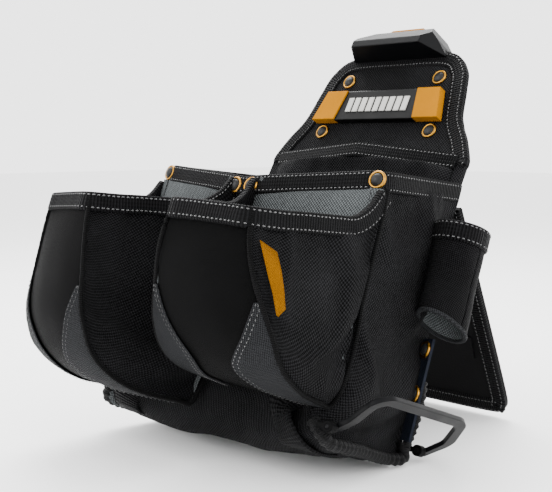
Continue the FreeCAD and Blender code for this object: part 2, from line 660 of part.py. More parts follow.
def nail_pocket(side, label, floor):
    """One open pocket: shell, lining, webbing rim and its corner patches."""
    frame = nail_frame(side)
    bag = bag_block(f"bag_for_{label}", "-strap_thick - soft_gap*2")
    outer = nail_block(f"{label}_outer", floor, "0")
    middle = nail_block(f"{label}_middle", floor, "nail_wall")
    inner = nail_block(f"{label}_inner", floor, "nail_wall + lining_wall")
    under = [("20", "-60"), ("-nail_reach - 20", "-60")]
    low = prism(f"{label}_low", "side", nail_rim_line("nail_rim_tall") + under, "-90", "90")
    high = prism(f"{label}_high", "side", nail_rim_line("0") + under, "-90", "90")
    shell = common(f"{label}_cloth_low", cut(f"{label}_hollow", outer, middle), low)
    node(cut(f"{label}_cloth", placed(shell, frame), bag), f"{label}_shell", LEANED)
    lining = common(f"{label}_lining_low", cut(f"{label}_lining_hollow", middle, inner), low)
    node(cut(f"{label}_lining_cloth", placed(lining, frame), bag), f"{label}_lining", LEANED)
    proud = nail_block(f"{label}_rim_outer", floor, "-webbing_thick")
    hole = nail_block(f"{label}_rim_inner", floor, "nail_wall + lining_wall + 0.4")
    band = common(f"{label}_rim_high", cut(f"{label}_rim_ring", proud, hole), high)
    rim = cut(f"{label}_rim_band", band, low)
    seated = cut(f"{label}_rim_cloth", placed(rim, frame), bag)
    node(cut(f"{label}_rim_pierced", seated, rivet_room(f"{label}_room")), f"{label}_rim", LEANED)
    patches(label, floor, frame, bag)


def patch_zone(name, floor, sign):
    """Where a patch covers a lower corner, seen from the pocket's front."""
    return prism(name, "front",
                 [(f"{sign}*(nail_foot_half - 34)", f"{floor} - 10"),
                  (f"{sign}*(nail_foot_half - 4)", f"{floor} + patch_tall"),
                  (f"{sign}*70", f"{floor} + patch_tall"), (f"{sign}*70", f"{floor} - 10")],
                 "nail_reach*0.42", "nail_reach + 10")


def patches(label, floor, frame, bag):
    """A wrapped patch over each lower corner of a nail pocket."""
    skin = nail_block(f"{label}_patch_outer", floor, "-patch_thick")
    core = nail_block(f"{label}_patch_inner", floor, "0")
    cover = cut(f"{label}_patch_skin", skin, core)
    pieces = [common(f"{label}_patch_{sign + 1}", cover,
                     patch_zone(f"{label}_patch_zone_{sign + 1}", floor, sign))
              for sign in (-1, 1)]
    both = group(f"{label}_patch_pair", *pieces)
    node(cut(f"{label}_patch_cloth", placed(both, frame), bag), f"{label}_patches", LEANED)


def tag():
    """A small plain tag sewn to the right nail pocket's outer side, near its front seam."""
    skin = nail_block("tag_outer", "nail_floor", "-tag_thick")
    core = nail_block("tag_inner", "nail_floor", "0")
    top = "nail_front_high - nail_rim_tall"
    frame = LEANED.multiply(nail_frame(1))
    zone = prism("tag_zone", "side",
                 [("-nail_reach*0.92", f"{top} - 6"), ("-nail_reach*0.92 + tag_wide", f"{top} - 13"),
                  ("-nail_reach*0.88 + tag_wide", f"{top} - 13 - tag_tall"),
                  ("-nail_reach*0.86 + tag_wide*0.3", f"{top} - 21 - tag_tall"),
                  ("-nail_reach*0.90", f"{top} - 24")],
                 "20", "90")
    cloth = common("tag_cloth", cut("tag_skin", skin, core), zone)
    node(cut("tag_clear", cloth, patch_zone("tag_patch", "nail_floor", 1)), "side_tag", frame)


# ---------------------------------------------------------------- side sleeve
def ellipse_tube(name, wall, low, high):
    """An upright oval tube at the sleeve's place."""
    solids = []
    for index, inset in enumerate(("0", wall)):
        corners = []
        for step in range(12):
            angle = math.radians(30 * step)
            corners.append((f"sleeve_in + sleeve_wide + {math.cos(angle):.4f}*(sleeve_wide - {inset})",
                            f"sleeve_back + {math.sin(angle):.4f}*(sleeve_long - {inset})"))
        solids.append(prism(f"{name}_{index}", "plan", corners, f"{low} - {index}", f"{high} + {index}"))
    return cut(name, *solids)


def side_sleeve():
    """A tube for a tool, open at both ends, hung from the panel's right edge by a webbing band."""
    node(ellipse_tube("sleeve_oval", "sleeve_wall", "sleeve_low", "sleeve_high"), "sleeve_tube", LEANED)
    band = ellipse_tube("sleeve_band_oval", "sleeve_wall", "sleeve_high", "sleeve_high + sleeve_rim_tall")
    node(band, "sleeve_band", LEANED)
    tab = prism("sleeve_tab_block", "plan",
                [("panel_half + soft_gap - 0.4", "0"), ("sleeve_in + 3.2", "0"),
                 ("sleeve_in + 3.2", "panel_thick"), ("panel_half", "panel_thick")],
                "sleeve_high", "sleeve_high + sleeve_rim_tall")
    node(cut("sleeve_tab_clear", cut("sleeve_tab_edge", tab, doc.getObject("panel")),
             ellipse_plug("sleeve_plug")), "sleeve_tab", LEANED)


def ellipse_plug(name):
    """The band's whole outside, used to trim what meets it."""
    corners = []
    for step in range(12):
        angle = math.radians(30 * step)
        corners.append((f"sleeve_in + sleeve_wide + {math.cos(angle):.4f}*sleeve_wide",
                        f"sleeve_back + {math.sin(angle):.4f}*sleeve_long"))
    return prism(name, "plan", corners, "sleeve_high - 20", "sleeve_high + 60")


def edge_strip():
    """A stiff strip that stands out from the gusset's rear seam, with two rivets through it."""
    seam = Placement(Vector(value("panel_half + soft_gap"), value("panel_thick/2"), 0),
                     turn(UPWARD, -value("strip_turn")))
    strip = prism("edge_strip_block", "plan",
                  [("0", "0"), ("strip_wide", "0"), ("strip_wide", "strip_thick"), ("0", "strip_thick")],
                  "strip_low", "strip_high")
    node(strip, "edge_strip", LEANED.multiply(seam))
    seats = [(Vector(value("strip_wide/2"), 0, value(height)), Vector(0, -1, 0))
             for height in ("strip_rivet_high", "strip_rivet_low")]
    rivets("edge_rivet", seats, LEANED.multiply(seam))


def heel():
    """A wear strip folded under the panel's lower edge, flat where it meets the ground."""
    front = "-panel_thick*cos(lean*1deg)"
    section = [(front, "0"), ("heel_behind", "0"), ("heel_behind", "heel_height"), ("0", "heel_height"),
               (front, "heel_height + panel_thick*sin(lean*1deg)")]
    wedge = prism("heel_wedge", "side", section, "-panel_foot_half + 4", "panel_foot_half - 4")
    node(wedge, "heel_strip", UPRIGHT)


# ---------------------------------------------------------------- hammer loop
def loop_frame():
    """The loop's frame: X runs out from its hinge line, Y back along it."""
    return loop_line().multiply(Placement(Vector(), turn(BACKWARD, -value("loop_tilt"))))


def hammer_loop():
    """One flat bar bent into a bail, with a pin at each end."""
    outside = [("-loop_pin - 1", "loop_front"), ("12", "loop_front", "10"),
               ("loop_out - 2", "loop_front - 14", "12"), ("loop_out", "loop_back - 26", "26"),
               ("20", "loop_back + 3", "14"), ("-loop_pin - 1", "loop_back")]
    bar = prism("loop_outer", "plan", outside, "-loop_bar_thick/2", "loop_bar_thick/2")
    inside = [("-20", "loop_front + loop_bar_wide"), ("13.5", "loop_front + loop_bar_wide", "6"),
              ("loop_out - loop_bar_wide - 1", "loop_front - 14 + loop_bar_wide*1.3", "6"),
              ("loop_out - loop_bar_wide", "loop_back - 28", "17"),
              ("17", "loop_back + 3 - loop_bar_wide*1.2", "8"), ("-20", "loop_back - loop_bar_wide")]
    hole = prism("loop_hole", "plan", inside, "-5", "5")
    pins = []
    for index, (start, _) in enumerate(loop_ends()):
        seat = Placement(Vector(0, value(start), 0), turn(ACROSS, -90))
        pins.append(cylinder(f"loop_pin_{index}", "loop_pin", "loop_pin_long + 4", seat))
    loop = joined("loop_bar", cut("loop_bail", bar, hole), *pins)
    node(loop, "hammer_loop", LEANED.multiply(loop_frame()))


def loop_ends():
    """Where each pin starts along the hinge line, and where its ear starts."""
    return (("loop_front - loop_pin_long", "loop_front - loop_pin_long"),
            ("loop_back - loop_bar_wide - loop_pin_long", "loop_back - loop_bar_wide - loop_pin_long"))


def loop_ears():
    """An eyelet on the gusset's front corner and one behind its rear corner, for the pins."""
    ears = []
    for index, (_, start) in enumerate(loop_ends()):
        seat = Placement(Vector(0, value(start), 0), turn(ACROSS, -90))
        barrel = cylinder(f"ear_barrel_{index}", "loop_ear_radius", "loop_pin_long - 0.5", seat)
        root = prism(f"ear_root_{index}", "plan",
                     [("-8", start), ("0", start), ("0", f"{start} + loop_pin_long - 0.5"),
                      ("-8", f"{start} + loop_pin_long - 0.5")], "-2", "2")
        bore = cylinder(f"ear_bore_{index}", "loop_pin + loop_pin_gap", "loop_pin_long + 2",
                        Placement(Vector(0, value(start) - 1, 0), turn(ACROSS, -90)))
        ears.append(cut(f"ear_{index}", joined(f"ear_solid_{index}", barrel, root), bore))
    both = placed(group("ear_pair", *ears), loop_line())
    node(cut("ear_pair_clear", both, doc.getObject("bag_outer")), "loop_ears", LEANED)


# ---------------------------------------------------------------- kickstand
def stand_placement(extra):
    """The kickstand's frame: its hinge line at the top, the board hanging from it."""
    hinge = Vector(0, value("stand_hinge_back"), value("stand_hinge_high"))
    place = LEANED.multVec(hinge)
    return Placement(place, turn(ACROSS, value("stand_open") + extra))


def stand_corners(inset, drop):
    return mirrored_corners([
        (f"stand_foot_half - {inset}", f"-stand_long + {inset}", f"stand_round - {inset}/2"),
        (f"stand_top_half - {inset}", drop),
    ])


def knuckle_spans():
    """Where the hinge's knuckles lie along the rod: (start, who carries it)."""
    pitch = value("knuckle_long + knuckle_gap")
    count = 5
    first = -pitch * count / 2 + value("knuckle_gap") / 2
    return [(first + pitch * index, "panel" if index % 2 == 0 else "stand") for index in range(count)]


def kickstand():
    """A stiff bound board hinged high on the panel's back."""
    frame = stand_placement(0)
    top = "-knuckle_radius - 1"
    board = prism("stand_board", "front", stand_corners("0", top), "-stand_thick/2", "stand_thick/2")
    node(board, "kickstand_board", frame)
    band = prism("stand_band", "front", stand_corners("0", "-stand_web_drop"),
                 "stand_thick/2", "stand_thick/2 + webbing_thick")
    window = prism("stand_window", "front", stand_corners("stand_web_wide", "5"), "0", "10")
    node(cut("stand_binding", band, window), "kickstand_binding", frame)
    patch = prism("stand_patch", "front",
                  [("stand_foot_half - 48", "-stand_long + 76"),
                   ("stand_foot_half - 16", "-stand_long + 72"),
                   ("stand_foot_half - 18", "-stand_long + 52"),
                   ("stand_foot_half - 32", "-stand_long + 46"),
                   ("stand_foot_half - 46", "-stand_long + 54")],
                  "stand_thick/2", "stand_thick/2 + webbing_thick")
    node(patch, "kickstand_patch", frame)


def hinge():
    """Knuckles on the panel and on the stand, and the rod that runs through them."""
    frame = stand_placement(0)
    rod_length = "5*knuckle_long + 4*knuckle_gap + 4"
    along_x = turn(BACKWARD, 90)
    rod = cylinder("hinge_rod_bar", "rod_radius", rod_length, Placement())
    rod.Placement = Placement(Vector(-value(rod_length) / 2, 0, 0), along_x)
    node(group("hinge_rod_group", rod), "hinge_rod", frame)
    leaves = {"panel": [], "stand": []}
    for index, (start, carrier) in enumerate(knuckle_spans()):
        seat = Placement(Vector(start, 0, 0), along_x)
        barrel = cylinder(f"knuckle_{index}", "knuckle_radius", "knuckle_long", seat)
        if carrier == "stand":
            leaf = leaf_prism(f"leaf_{index}", start,
                              [("-stand_thick/2", "-knuckle_radius - 1"),
                               ("stand_thick/2", "-knuckle_radius - 1"),
                               ("stand_thick/2", "0"), ("-stand_thick/2", "0")])
        else:
            leaf = panel_leaf(f"leaf_{index}", start)
        bore = cylinder(f"bore_{index}", "rod_radius + rod_gap", "knuckle_long + 2",
                        Placement(Vector(start - 1, 0, 0), along_x))
        solid = joined(f"knuckle_{index}_solid", barrel, leaf)
        leaves[carrier].append(cut(f"knuckle_{index}_bored", solid, bore))
    node(group("stand_knuckles", *leaves["stand"]), "kickstand_knuckles", frame)
    node(group("panel_knuckle_group", *leaves["panel"]), "panel_knuckles", frame)


def leaf_prism(name, start, section):
    return prism(name, "side", section, f"{start:.4f}", f"{start:.4f} + knuckle_long")


def panel_leaf(name, start):
    """A leaf from a panel knuckle to the panel's back, drawn in the stand's frame."""
    tilt = turn(ACROSS, -value("lean + stand_open"))
    leaf = prism(name, "side",
                 [("-stand_hinge_back + panel_thick", "-14"), ("-1", "-4"), ("-1", "4"),
                  ("-stand_hinge_back + panel_thick", "7")],
                 f"{start:.4f}", f"{start:.4f} + knuckle_long")
    leaf.Placement = Placement(Vector(), tilt)
    return leaf


def stay_strap():
    """A webbing strap that stops the kickstand from opening further."""
    stand = stand_placement(0)
    low_front = LEANED.multVec(Vector(0, value("panel_thick"), value("stay_high")))
    back = stand.multVec(Vector(0, -value("stand_thick") / 2, -value("stay_down")))
    run = back - low_front
    gap = value("stay_gap")
    strap = doc.addObject("Part::Box", "stay_strap_web")
    strap.setExpression("Length", "size.stay_wide")
    strap.Width = run.Length - 2 * gap - value("stay_thick")
    strap.setExpression("Height", "size.stay_thick")
    angle = math.degrees(math.atan2(run.z, run.y))
    start = low_front + run * ((gap + value("stay_thick") / 2) / run.Length)
    node(strap, "stay_strap", Placement(start - Vector(value("stay_wide") / 2, 0, 0), turn(ACROSS, angle)))


back_panel()
neck_binding()
badge()
neck_rivets()
hub()
release_button()
receiver()
flat_pocket()
main_bag()
bag_trim()
rivets("rim_rivet", rim_rivet_seats(), LEANED)
nail_pocket(1, "right_pocket", "nail_floor")
nail_pocket(-1, "left_pocket", "nail_floor_left")
tag()
side_sleeve()
edge_strip()
heel()
hammer_loop()
loop_ears()
kickstand()
hinge()
stay_strap()

doc.recompute()

for item in doc.Objects:
    if "Invalid" in item.State or "Error" in item.State:
        raise RuntimeError(f"{item.Name} failed: {item.State}")
for item in nodes:
    if item.Shape.isNull() or not item.Shape.isValid() or not item.Shape.Solids:
        raise RuntimeError(f"{item.Label} has no sound solid")

os.makedirs("parts", exist_ok=True)
for item in nodes:
    item.Shape.exportStep(f"parts/{item.Label}.step")
    box = item.Shape.BoundBox
    print(f"{item.Label:28s} {len(item.Shape.Solids):2d} solids {item.Shape.Volume:10.0f} mm3 "
          f"x {box.XMin:.0f}..{box.XMax:.0f} y {box.YMin:.0f}..{box.YMax:.0f} z {box.ZMin:.1f}..{box.ZMax:.0f}")
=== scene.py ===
import math

import bmesh
import bpy
from mathutils import Matrix, Vector, noise
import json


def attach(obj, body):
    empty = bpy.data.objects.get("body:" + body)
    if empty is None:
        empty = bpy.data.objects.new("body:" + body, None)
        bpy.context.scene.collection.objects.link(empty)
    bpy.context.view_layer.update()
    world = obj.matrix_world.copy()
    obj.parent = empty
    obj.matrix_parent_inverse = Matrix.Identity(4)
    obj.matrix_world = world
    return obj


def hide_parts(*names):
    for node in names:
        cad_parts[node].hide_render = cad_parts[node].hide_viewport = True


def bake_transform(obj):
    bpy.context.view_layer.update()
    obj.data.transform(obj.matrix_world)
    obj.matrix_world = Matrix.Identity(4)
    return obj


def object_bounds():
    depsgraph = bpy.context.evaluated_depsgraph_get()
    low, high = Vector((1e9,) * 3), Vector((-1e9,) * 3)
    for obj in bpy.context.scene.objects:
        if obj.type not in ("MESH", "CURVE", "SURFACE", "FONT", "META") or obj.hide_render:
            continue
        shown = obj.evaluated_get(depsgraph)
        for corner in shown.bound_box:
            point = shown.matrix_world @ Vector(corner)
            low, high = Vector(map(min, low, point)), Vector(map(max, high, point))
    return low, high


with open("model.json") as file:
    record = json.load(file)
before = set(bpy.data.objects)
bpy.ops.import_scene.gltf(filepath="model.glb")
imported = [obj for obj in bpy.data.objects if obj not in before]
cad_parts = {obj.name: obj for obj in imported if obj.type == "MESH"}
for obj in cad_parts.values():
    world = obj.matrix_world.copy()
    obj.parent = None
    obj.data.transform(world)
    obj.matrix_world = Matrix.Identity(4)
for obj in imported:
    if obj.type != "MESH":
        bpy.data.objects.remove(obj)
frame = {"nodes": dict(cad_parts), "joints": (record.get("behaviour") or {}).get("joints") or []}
cad_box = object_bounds()

# ------------------------------------------------------------------ ground and light
# The pouch stands on a pale seamless ground under broad soft lamps: one high at the
# left rear, which edges the webbing, one large lamp in front and a weaker one at the right.


class Wire:
    """A node's output, on which arithmetic adds Math nodes."""

    def __init__(self, finish, socket):
        self.finish, self.socket = finish, socket

    def maths(self, operation, first, second):
        return self.finish.node("ShaderNodeMath", {"operation": operation}, {0: first, 1: second})

    def __add__(self, other):
        return self.maths("ADD", self, other)

    def __sub__(self, other):
        return self.maths("SUBTRACT", self, other)

    def __mul__(self, other):
        return self.maths("MULTIPLY", self, other)

    def __pow__(self, other):
        return self.maths("POWER", self, other)


class Finish:
    """A material: its shader, and one method that adds any node."""

    def __init__(self, name, roughness, **fixed):
        self.material = bpy.data.materials.new(name)
        self.material.use_nodes = True
        self.tree = self.material.node_tree
        self.shader = self.tree.nodes["Principled BSDF"]
        self.plug(self.shader.inputs["Roughness"], roughness)
        for socket, number in fixed.items():
            self.shader.inputs[socket.replace("_", " ")].default_value = number

    def plug(self, socket, value):
        if isinstance(value, Wire):
            self.tree.links.new(value.socket, socket)
        else:
            socket.default_value = value

    def node(self, kind, settings, sockets, output=0):
        added = self.tree.nodes.new(kind)
        for key, value in settings.items():
            setattr(added, key, value)
        for key, value in sockets.items():
            self.plug(added.inputs[key], value)
        return Wire(self, added.outputs[output])

    def speckle(self, coordinates, scale, detail=2.0):
        """Noise from 0 to 1, so many per metre."""
        return self.node("ShaderNodeTexNoise", {},
                         {"Vector": coordinates, "Scale": scale, "Detail": detail})

    def between(self, factor, dark, light):
        """A colour between two, by a factor."""
        return self.node("ShaderNodeMix", {"data_type": "RGBA"},
                         {0: factor, 6: (*dark, 1), 7: (*light, 1)}, output=2)

    def paint(self, colour):
        self.plug(self.shader.inputs["Base Color"], colour)

    def roughen(self, roughness):
        self.plug(self.shader.inputs["Roughness"], roughness)

    def relief(self, height, depth):
        """Bumps of a depth in metres, from a height of 0 to 1."""
        normal = self.node("ShaderNodeBump", {}, {"Strength": 1.0, "Distance": depth, "Height": height})
        self.plug(self.shader.inputs["Normal"], normal)


ground_reach = 6.0
ground_mesh = bpy.data.meshes.new("ground")
ground_corners = [(x * ground_reach, y * ground_reach, 0) for x, y in ((-1, -1), (1, -1), (1, 1), (-1, 1))]
ground_mesh.from_pydata(ground_corners, [], [(0, 1, 2, 3)])
ground = bpy.data.objects.new("ground", ground_mesh)
bpy.context.collection.objects.link(ground)
paper = Finish("pale_ground", 0.85)
paper.paint((0.86, 0.86, 0.86, 1))
ground_mesh.materials.append(paper.material)

room = bpy.data.worlds.new("room")
room.use_nodes = True
room.node_tree.nodes["Background"].inputs["Color"].default_value = (1.0, 1.0, 1.0, 1)
room.node_tree.nodes["Background"].inputs["Strength"].default_value = 3.3
bpy.context.scene.world = room


def lamp(name, place, aim, size, power):
    """A square soft lamp that faces a point."""
    light = bpy.data.lights.new(name, "AREA")
    light.size, light.energy = size, power
    holder = bpy.data.objects.new(name, light)
    holder.location = place
    holder.rotation_mode = "QUATERNION"
    holder.rotation_quaternion = (Vector(place) - Vector(aim)).to_track_quat("Z", "Y")
    bpy.context.collection.objects.link(holder)


middle = (cad_box[0] + cad_box[1]) / 2
lamp("high_lamp", (-0.5, 0.35, 1.25), middle, 0.9, 34)
lamp("front_lamp", (-0.55, -1.25, 0.9), middle, 0.9, 20)
lamp("right_lamp", (1.3, -0.15, 0.75), middle, 0.8, 16)

turn_left, look_down = math.radians(45.5), math.radians(5.8)
level = math.cos(look_down)
looking = Vector((-math.sin(turn_left) * level, math.cos(turn_left) * level, -math.sin(look_down)))
camera = bpy.data.objects.new("camera", bpy.data.cameras.new("camera"))
camera.data.lens, camera.data.sensor_width = 67.2, 36
camera.location = (0.542, -0.5503, 0.2257)
camera.rotation_mode = "QUATERNION"
camera.rotation_quaternion = looking.to_track_quat("-Z", "Y")
bpy.context.collection.objects.link(camera)
bpy.context.scene.camera = camera

# ------------------------------------------------------------------ back panel
# One panel of coarse ballistic nylon over a stiff board. It leans back on its heel and
# bends further back at the neck. It stays as the solid made it, in its woven finish.
lean, neck_bend, bend_height = math.radians(21), math.radians(9), 200
panel_thick, panel_base, heel_height = 4, -4, 1.5


def mm(x, y, z):
    return Vector((x, y, z)) / 1000


leaning = Matrix.Rotation(-lean, 4, "X")
POUCH = Matrix.Translation(mm(0, 0, heel_height) - leaning @ mm(0, panel_thick, panel_base)) @ leaning
NECK = (POUCH @ Matrix.Translation(mm(0, 0, bend_height)) @ Matrix.Rotation(-neck_bend, 4, "X")
        @ Matrix.Translation(mm(0, 0, -bend_height)))


def woven(name, dark, light, pitch, coordinates=None, twill=0.0):
    """Cloth of crossed threads. Its coordinates run along the cloth, in metres."""
    finish = Finish(name, 0.62, Sheen_Weight=0.006, Sheen_Roughness=0.45, Specular_IOR_Level=0.02)
    place = coordinates(finish) if coordinates else finish.node("ShaderNodeUVMap", {}, {})
    across = finish.node("ShaderNodeSeparateXYZ", {}, {0: place}, output=0)
    along = finish.node("ShaderNodeSeparateXYZ", {}, {0: place}, output=1)
    turns = 2 * math.pi / pitch
    warp = finish.node("ShaderNodeMath", {"operation": "SINE"}, {0: (across + along * twill) * turns})
    weft = finish.node("ShaderNodeMath", {"operation": "SINE"}, {0: (along - across * twill) * turns})
    threads = warp * weft * 0.5 + 0.5
    fibres = finish.speckle(place, 0.9 / pitch, 3.0)
    fading = finish.speckle(place, 18, 4.0)
    lightness = threads ** 1.6 * 0.95 + fibres * 0.5 + (fading - 0.5) * 0.9 - 0.18
    finish.paint(finish.between(lightness, dark, light))
    finish.roughen(fibres * 0.3 + 0.45)
    finish.relief(threads + fibres * 0.6, 0.5 * pitch)
    return finish


def leaned_coordinates(finish):
    """Coordinates along the leaning panel, for solids that carry none of their own."""
    place = finish.node("ShaderNodeTexCoord", {}, {}, output=3)
    flat = finish.node("ShaderNodeMapping", {}, {"Vector": place, "Rotation": (lean, 0, 0)})
    sideways = finish.node("ShaderNodeSeparateXYZ", {}, {0: flat}, output=0)
    depth = finish.node("ShaderNodeSeparateXYZ", {}, {0: flat}, output=1)
    upward = finish.node("ShaderNodeSeparateXYZ", {}, {0: flat}, output=2)
    return finish.node("ShaderNodeCombineXYZ", {}, {0: sideways + depth, 1: upward})


black_dark, black_light = (0.0002, 0.0002, 0.0002), (0.0135, 0.0135, 0.0146)
panel_cloth = woven("panel_nylon", black_dark, black_light, 0.0026, leaned_coordinates)
nylon = woven("ballistic_nylon", black_dark, black_light, 0.0026)
smooth_nylon = woven("smooth_nylon", (0.0005, 0.0005, 0.0005), (0.0019, 0.0019, 0.0021), 0.0009)


def refinish(finish, *nodes):
    """Give solids of the frame a finish."""
    for name in nodes:
        for seat in frame["nodes"][name].material_slots:
            seat.material = finish.material


refinish(panel_cloth, "back_panel")

# ------------------------------------------------------------------ neck binding
# Ribbed webbing folded over the neck's edge and sewn down with two rows of pale thread.
# It is swept along the neck's outline, through the panel from front to back.
binding_wide, binding_thick = 13, 1.3
neck_outline = [(-99, 216), (-99.5, 222), (-91, 240), (-80, 258), (-74, 284), (-68, 303), (-50, 317),
                (0, 318.5), (50, 317), (68, 303), (74, 284), (80, 258), (91, 240), (99.5, 222), (99, 216)]


def evenly(points, count):
    """So many even steps along a smooth curve through the given points."""
    dense = []
    ends = [points[0] * 2 - points[1]] + list(points) + [points[-1] * 2 - points[-2]]
    for a, b, c, d in zip(ends, ends[1:], ends[2:], ends[3:]):
        for part in range(12):
            t = part / 12
            dense.append(0.5 * (2 * b + (c - a) * t + (2 * a - 5 * b + 4 * c - d) * t ** 2
                                + (3 * b - 3 * c + d - a) * t ** 3))
    dense.append(points[-1])
    lengths = [0.0]
    for before, after in zip(dense, dense[1:]):
        lengths.append(lengths[-1] + (after - before).length)
    even, index = [], 0
    for number in range(count + 1):
        wanted = lengths[-1] * number / count
        while index < len(dense) - 2 and lengths[index + 1] < wanted:
            index += 1
        share = (wanted - lengths[index]) / max(1e-9, lengths[index + 1] - lengths[index])
        even.append(dense[index].lerp(dense[index + 1], min(1, share)))
    return even


def resample(points, step):
    """Even steps of about one length along a smooth curve through the given points."""
    run = sum((after - before).length for before, after in zip(points, points[1:]))
    return evenly(points, max(2, round(run / step)))


def new_piece(name, points, faces, places, finishes, body):
    """A mesh with UVs in metres that rides on a body, unless it crosses a joint."""
    mesh = bpy.data.meshes.new(name)
    mesh.from_pydata([tuple(point) for point in points], [], faces)
    layer = mesh.uv_layers.new(name="cut")
    for loop in mesh.loops:
        layer.data[loop.index].uv = places[loop.vertex_index]
    for face in mesh.polygons:
        face.use_smooth = True
    for finish in finishes:
        mesh.materials.append(finish.material)
    piece = bpy.data.objects.new(name, mesh)
    bpy.context.collection.objects.link(piece)
    if body:
        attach(piece, body)
    return piece


def tangents(spine):
    """The direction of a spine's run at each of its points."""
    afters, befores = spine[1:] + spine[-1:], spine[:1] + spine[:-1]
    return [(after - before).normalized() for after, before in zip(afters, befores)]


def ribbon(name, spine, facings, wide, front, back, finish, body="pouch"):
    """Webbing swept along a spine: so wide, from a depth behind the spine to a height in front."""
    half, soft, crown = wide / 2, min(0.9, wide / 6), 0.12
    section = [(-half, back + soft), (-half, front - soft), (-half + soft, front), (-half / 3, front + crown),
               (half / 3, front + crown), (half - soft, front), (half, front - soft), (half, back + soft),
               (half - soft, back), (-half + soft, back)]
    points, places, faces, run = [], [], [], 0.0
    for index, (centre, along, facing) in enumerate(zip(spine, tangents(spine), facings)):
        if index:
            run += (centre - spine[index - 1]).length
        across = along.cross(facing).normalized()
        outward = across.cross(along).normalized()
        for side, out in section:
            points.append(centre + across * side / 1000 + outward * out / 1000)
            places.append((run, (side + out) / 1000))
    size = len(section)
    for ring in range(len(spine) - 1):
        for corner in range(size):
            following = (corner + 1) % size
            faces.append((ring * size + corner, ring * size + following,
                          (ring + 1) * size + following, (ring + 1) * size + corner))
    faces.append(tuple(range(size - 1, -1, -1)))
    faces.append(tuple((len(spine) - 1) * size + corner for corner in range(size)))
    piece = new_piece(name, points, faces, places, [finish], body)
    flip = bmesh.new()
    flip.from_mesh(piece.data)
    bmesh.ops.recalc_face_normals(flip, faces=flip.faces)
    flip.to_mesh(piece.data)
    flip.free()
    return piece


stitch_pitch = 3.3
stitch_corners = [(-1, 0, -0.6), (-0.45, -1, 0), (-0.45, 1, 0), (-0.4, 0, 1),
                  (0.4, 0, 1), (0.45, -1, 0), (0.45, 1, 0), (1, 0, -0.6)]
stitch_faces = [(0, 1, 3), (0, 3, 2), (1, 5, 4, 3), (3, 4, 6, 2), (5, 7, 4), (4, 7, 6), (0, 2, 1),
                (1, 2, 6, 5), (5, 6, 7)]


def stitching(name, rows, finish, body="pouch", long=2.2, thick=0.75):
    """Rows of sewn thread. Each row is a spine, its facings, how far across and how far out it lies."""
    points, places, faces = [], [], []
    for spine, facings, across_by, out_by in rows:
        run, wanted = 0.0, stitch_pitch / 2000
        for index, along in enumerate(tangents(spine)[:-1]):
            step = (spine[index + 1] - spine[index]).length
            while run + step >= wanted:
                centre = spine[index].lerp(spine[index + 1], (wanted - run) / step)
                across = along.cross(facings[index]).normalized()
                outward = across.cross(along).normalized()
                centre = centre + across * across_by / 1000 + outward * out_by / 1000
                first = len(points)
                for lengthwise, sideways, upward in stitch_corners:
                    points.append(centre + along * lengthwise * long / 2000 + across * sideways * thick / 2000
                                  + outward * upward * thick / 2600)
                    places.append((lengthwise * long / 1000, sideways * thick / 1000))
                for face in stitch_faces:
                    faces.append(tuple(first + corner for corner in face))
                wanted += stitch_pitch / 1000
            run += step
    return new_piece(name, points, faces, places, [finish], body)


def ribbed(name, dark, light, pitch):
    """Webbing with ribs across its length, two twisted yarns to a rib."""
    finish = Finish(name, 0.6, Sheen_Weight=0.006, Sheen_Roughness=0.4, Specular_IOR_Level=0.03)
    place = finish.node("ShaderNodeUVMap", {}, {})
    along = finish.node("ShaderNodeSeparateXYZ", {}, {0: place}, output=0)
    across = finish.node("ShaderNodeSeparateXYZ", {}, {0: place}, output=1)
    turns = 2 * math.pi / pitch
    rib = finish.node("ShaderNodeMath", {"operation": "SINE"}, {0: along * turns}) * 0.5 + 0.5
    yarn = finish.node("ShaderNodeMath", {"operation": "SINE"}, {0: across * turns * 0.8}) * 0.5 + 0.5
    fibres = finish.speckle(place, 1.0 / pitch, 2.0)
    fading = finish.speckle(place, 30, 3.0)
    finish.paint(finish.between(rib * 0.5 + fibres * 0.5 + (fading - 0.5) * 0.8 - 0.1, dark, light))
    finish.roughen(fibres * 0.3 + 0.42)
    finish.relief(rib + yarn * 0.35, 0.4 * pitch)
    return finish


webbing = ribbed("ribbed_webbing", (0.0003, 0.0003, 0.0003), (0.0062, 0.0062, 0.0068), 0.0021)
thread = Finish("pale_thread", 0.6, Sheen_Weight=0.3)
thread_place = thread.node("ShaderNodeTexCoord", {}, {}, output=3)
thread_tone = thread.speckle(thread_place, 260)
thread.paint(thread.between(thread_tone, (0.003, 0.003, 0.0032), (0.012, 0.012, 0.0122)))
thread.roughen(thread.speckle(thread_place, 900) * 0.3 + 0.45)
board_thread = Finish("dark_thread", 0.6, Sheen_Weight=0.3)
dark_tone = board_thread.speckle(board_thread.node("ShaderNodeTexCoord", {}, {}, output=3), 260)
board_thread.paint(board_thread.between(dark_tone, (0.008, 0.008, 0.008), (0.03, 0.03, 0.031)))


def inset_spine(frame_of, outline, inset, depth):
    """An outline in a frame's front plane, moved to the right of its run by an inset."""
    line = resample([Vector((x, 0, z)) for x, z in outline], 3.0)
    moved = [point + Vector((along.z, 0, -along.x)) * inset for point, along in zip(line, tangents(line))]
    return [frame_of @ mm(place.x, depth, place.z) for place in moved]


neck_forward = NECK.to_3x3() @ Vector((0, -1, 0))
neck_spine = inset_spine(NECK, neck_outline, binding_wide / 2 - 0.6, 0)
neck_facings = [neck_forward] * len(neck_spine)
neck_binding = ribbon("neck_binding_fold", neck_spine, neck_facings, binding_wide, binding_thick,
                      -panel_thick - binding_thick, webbing)
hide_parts("neck_binding")
stitching("neck_stitching", [(neck_spine, neck_facings, 4.2, binding_thick + 0.15),
                             (neck_spine, neck_facings, -4.2, binding_thick + 0.15)], thread)

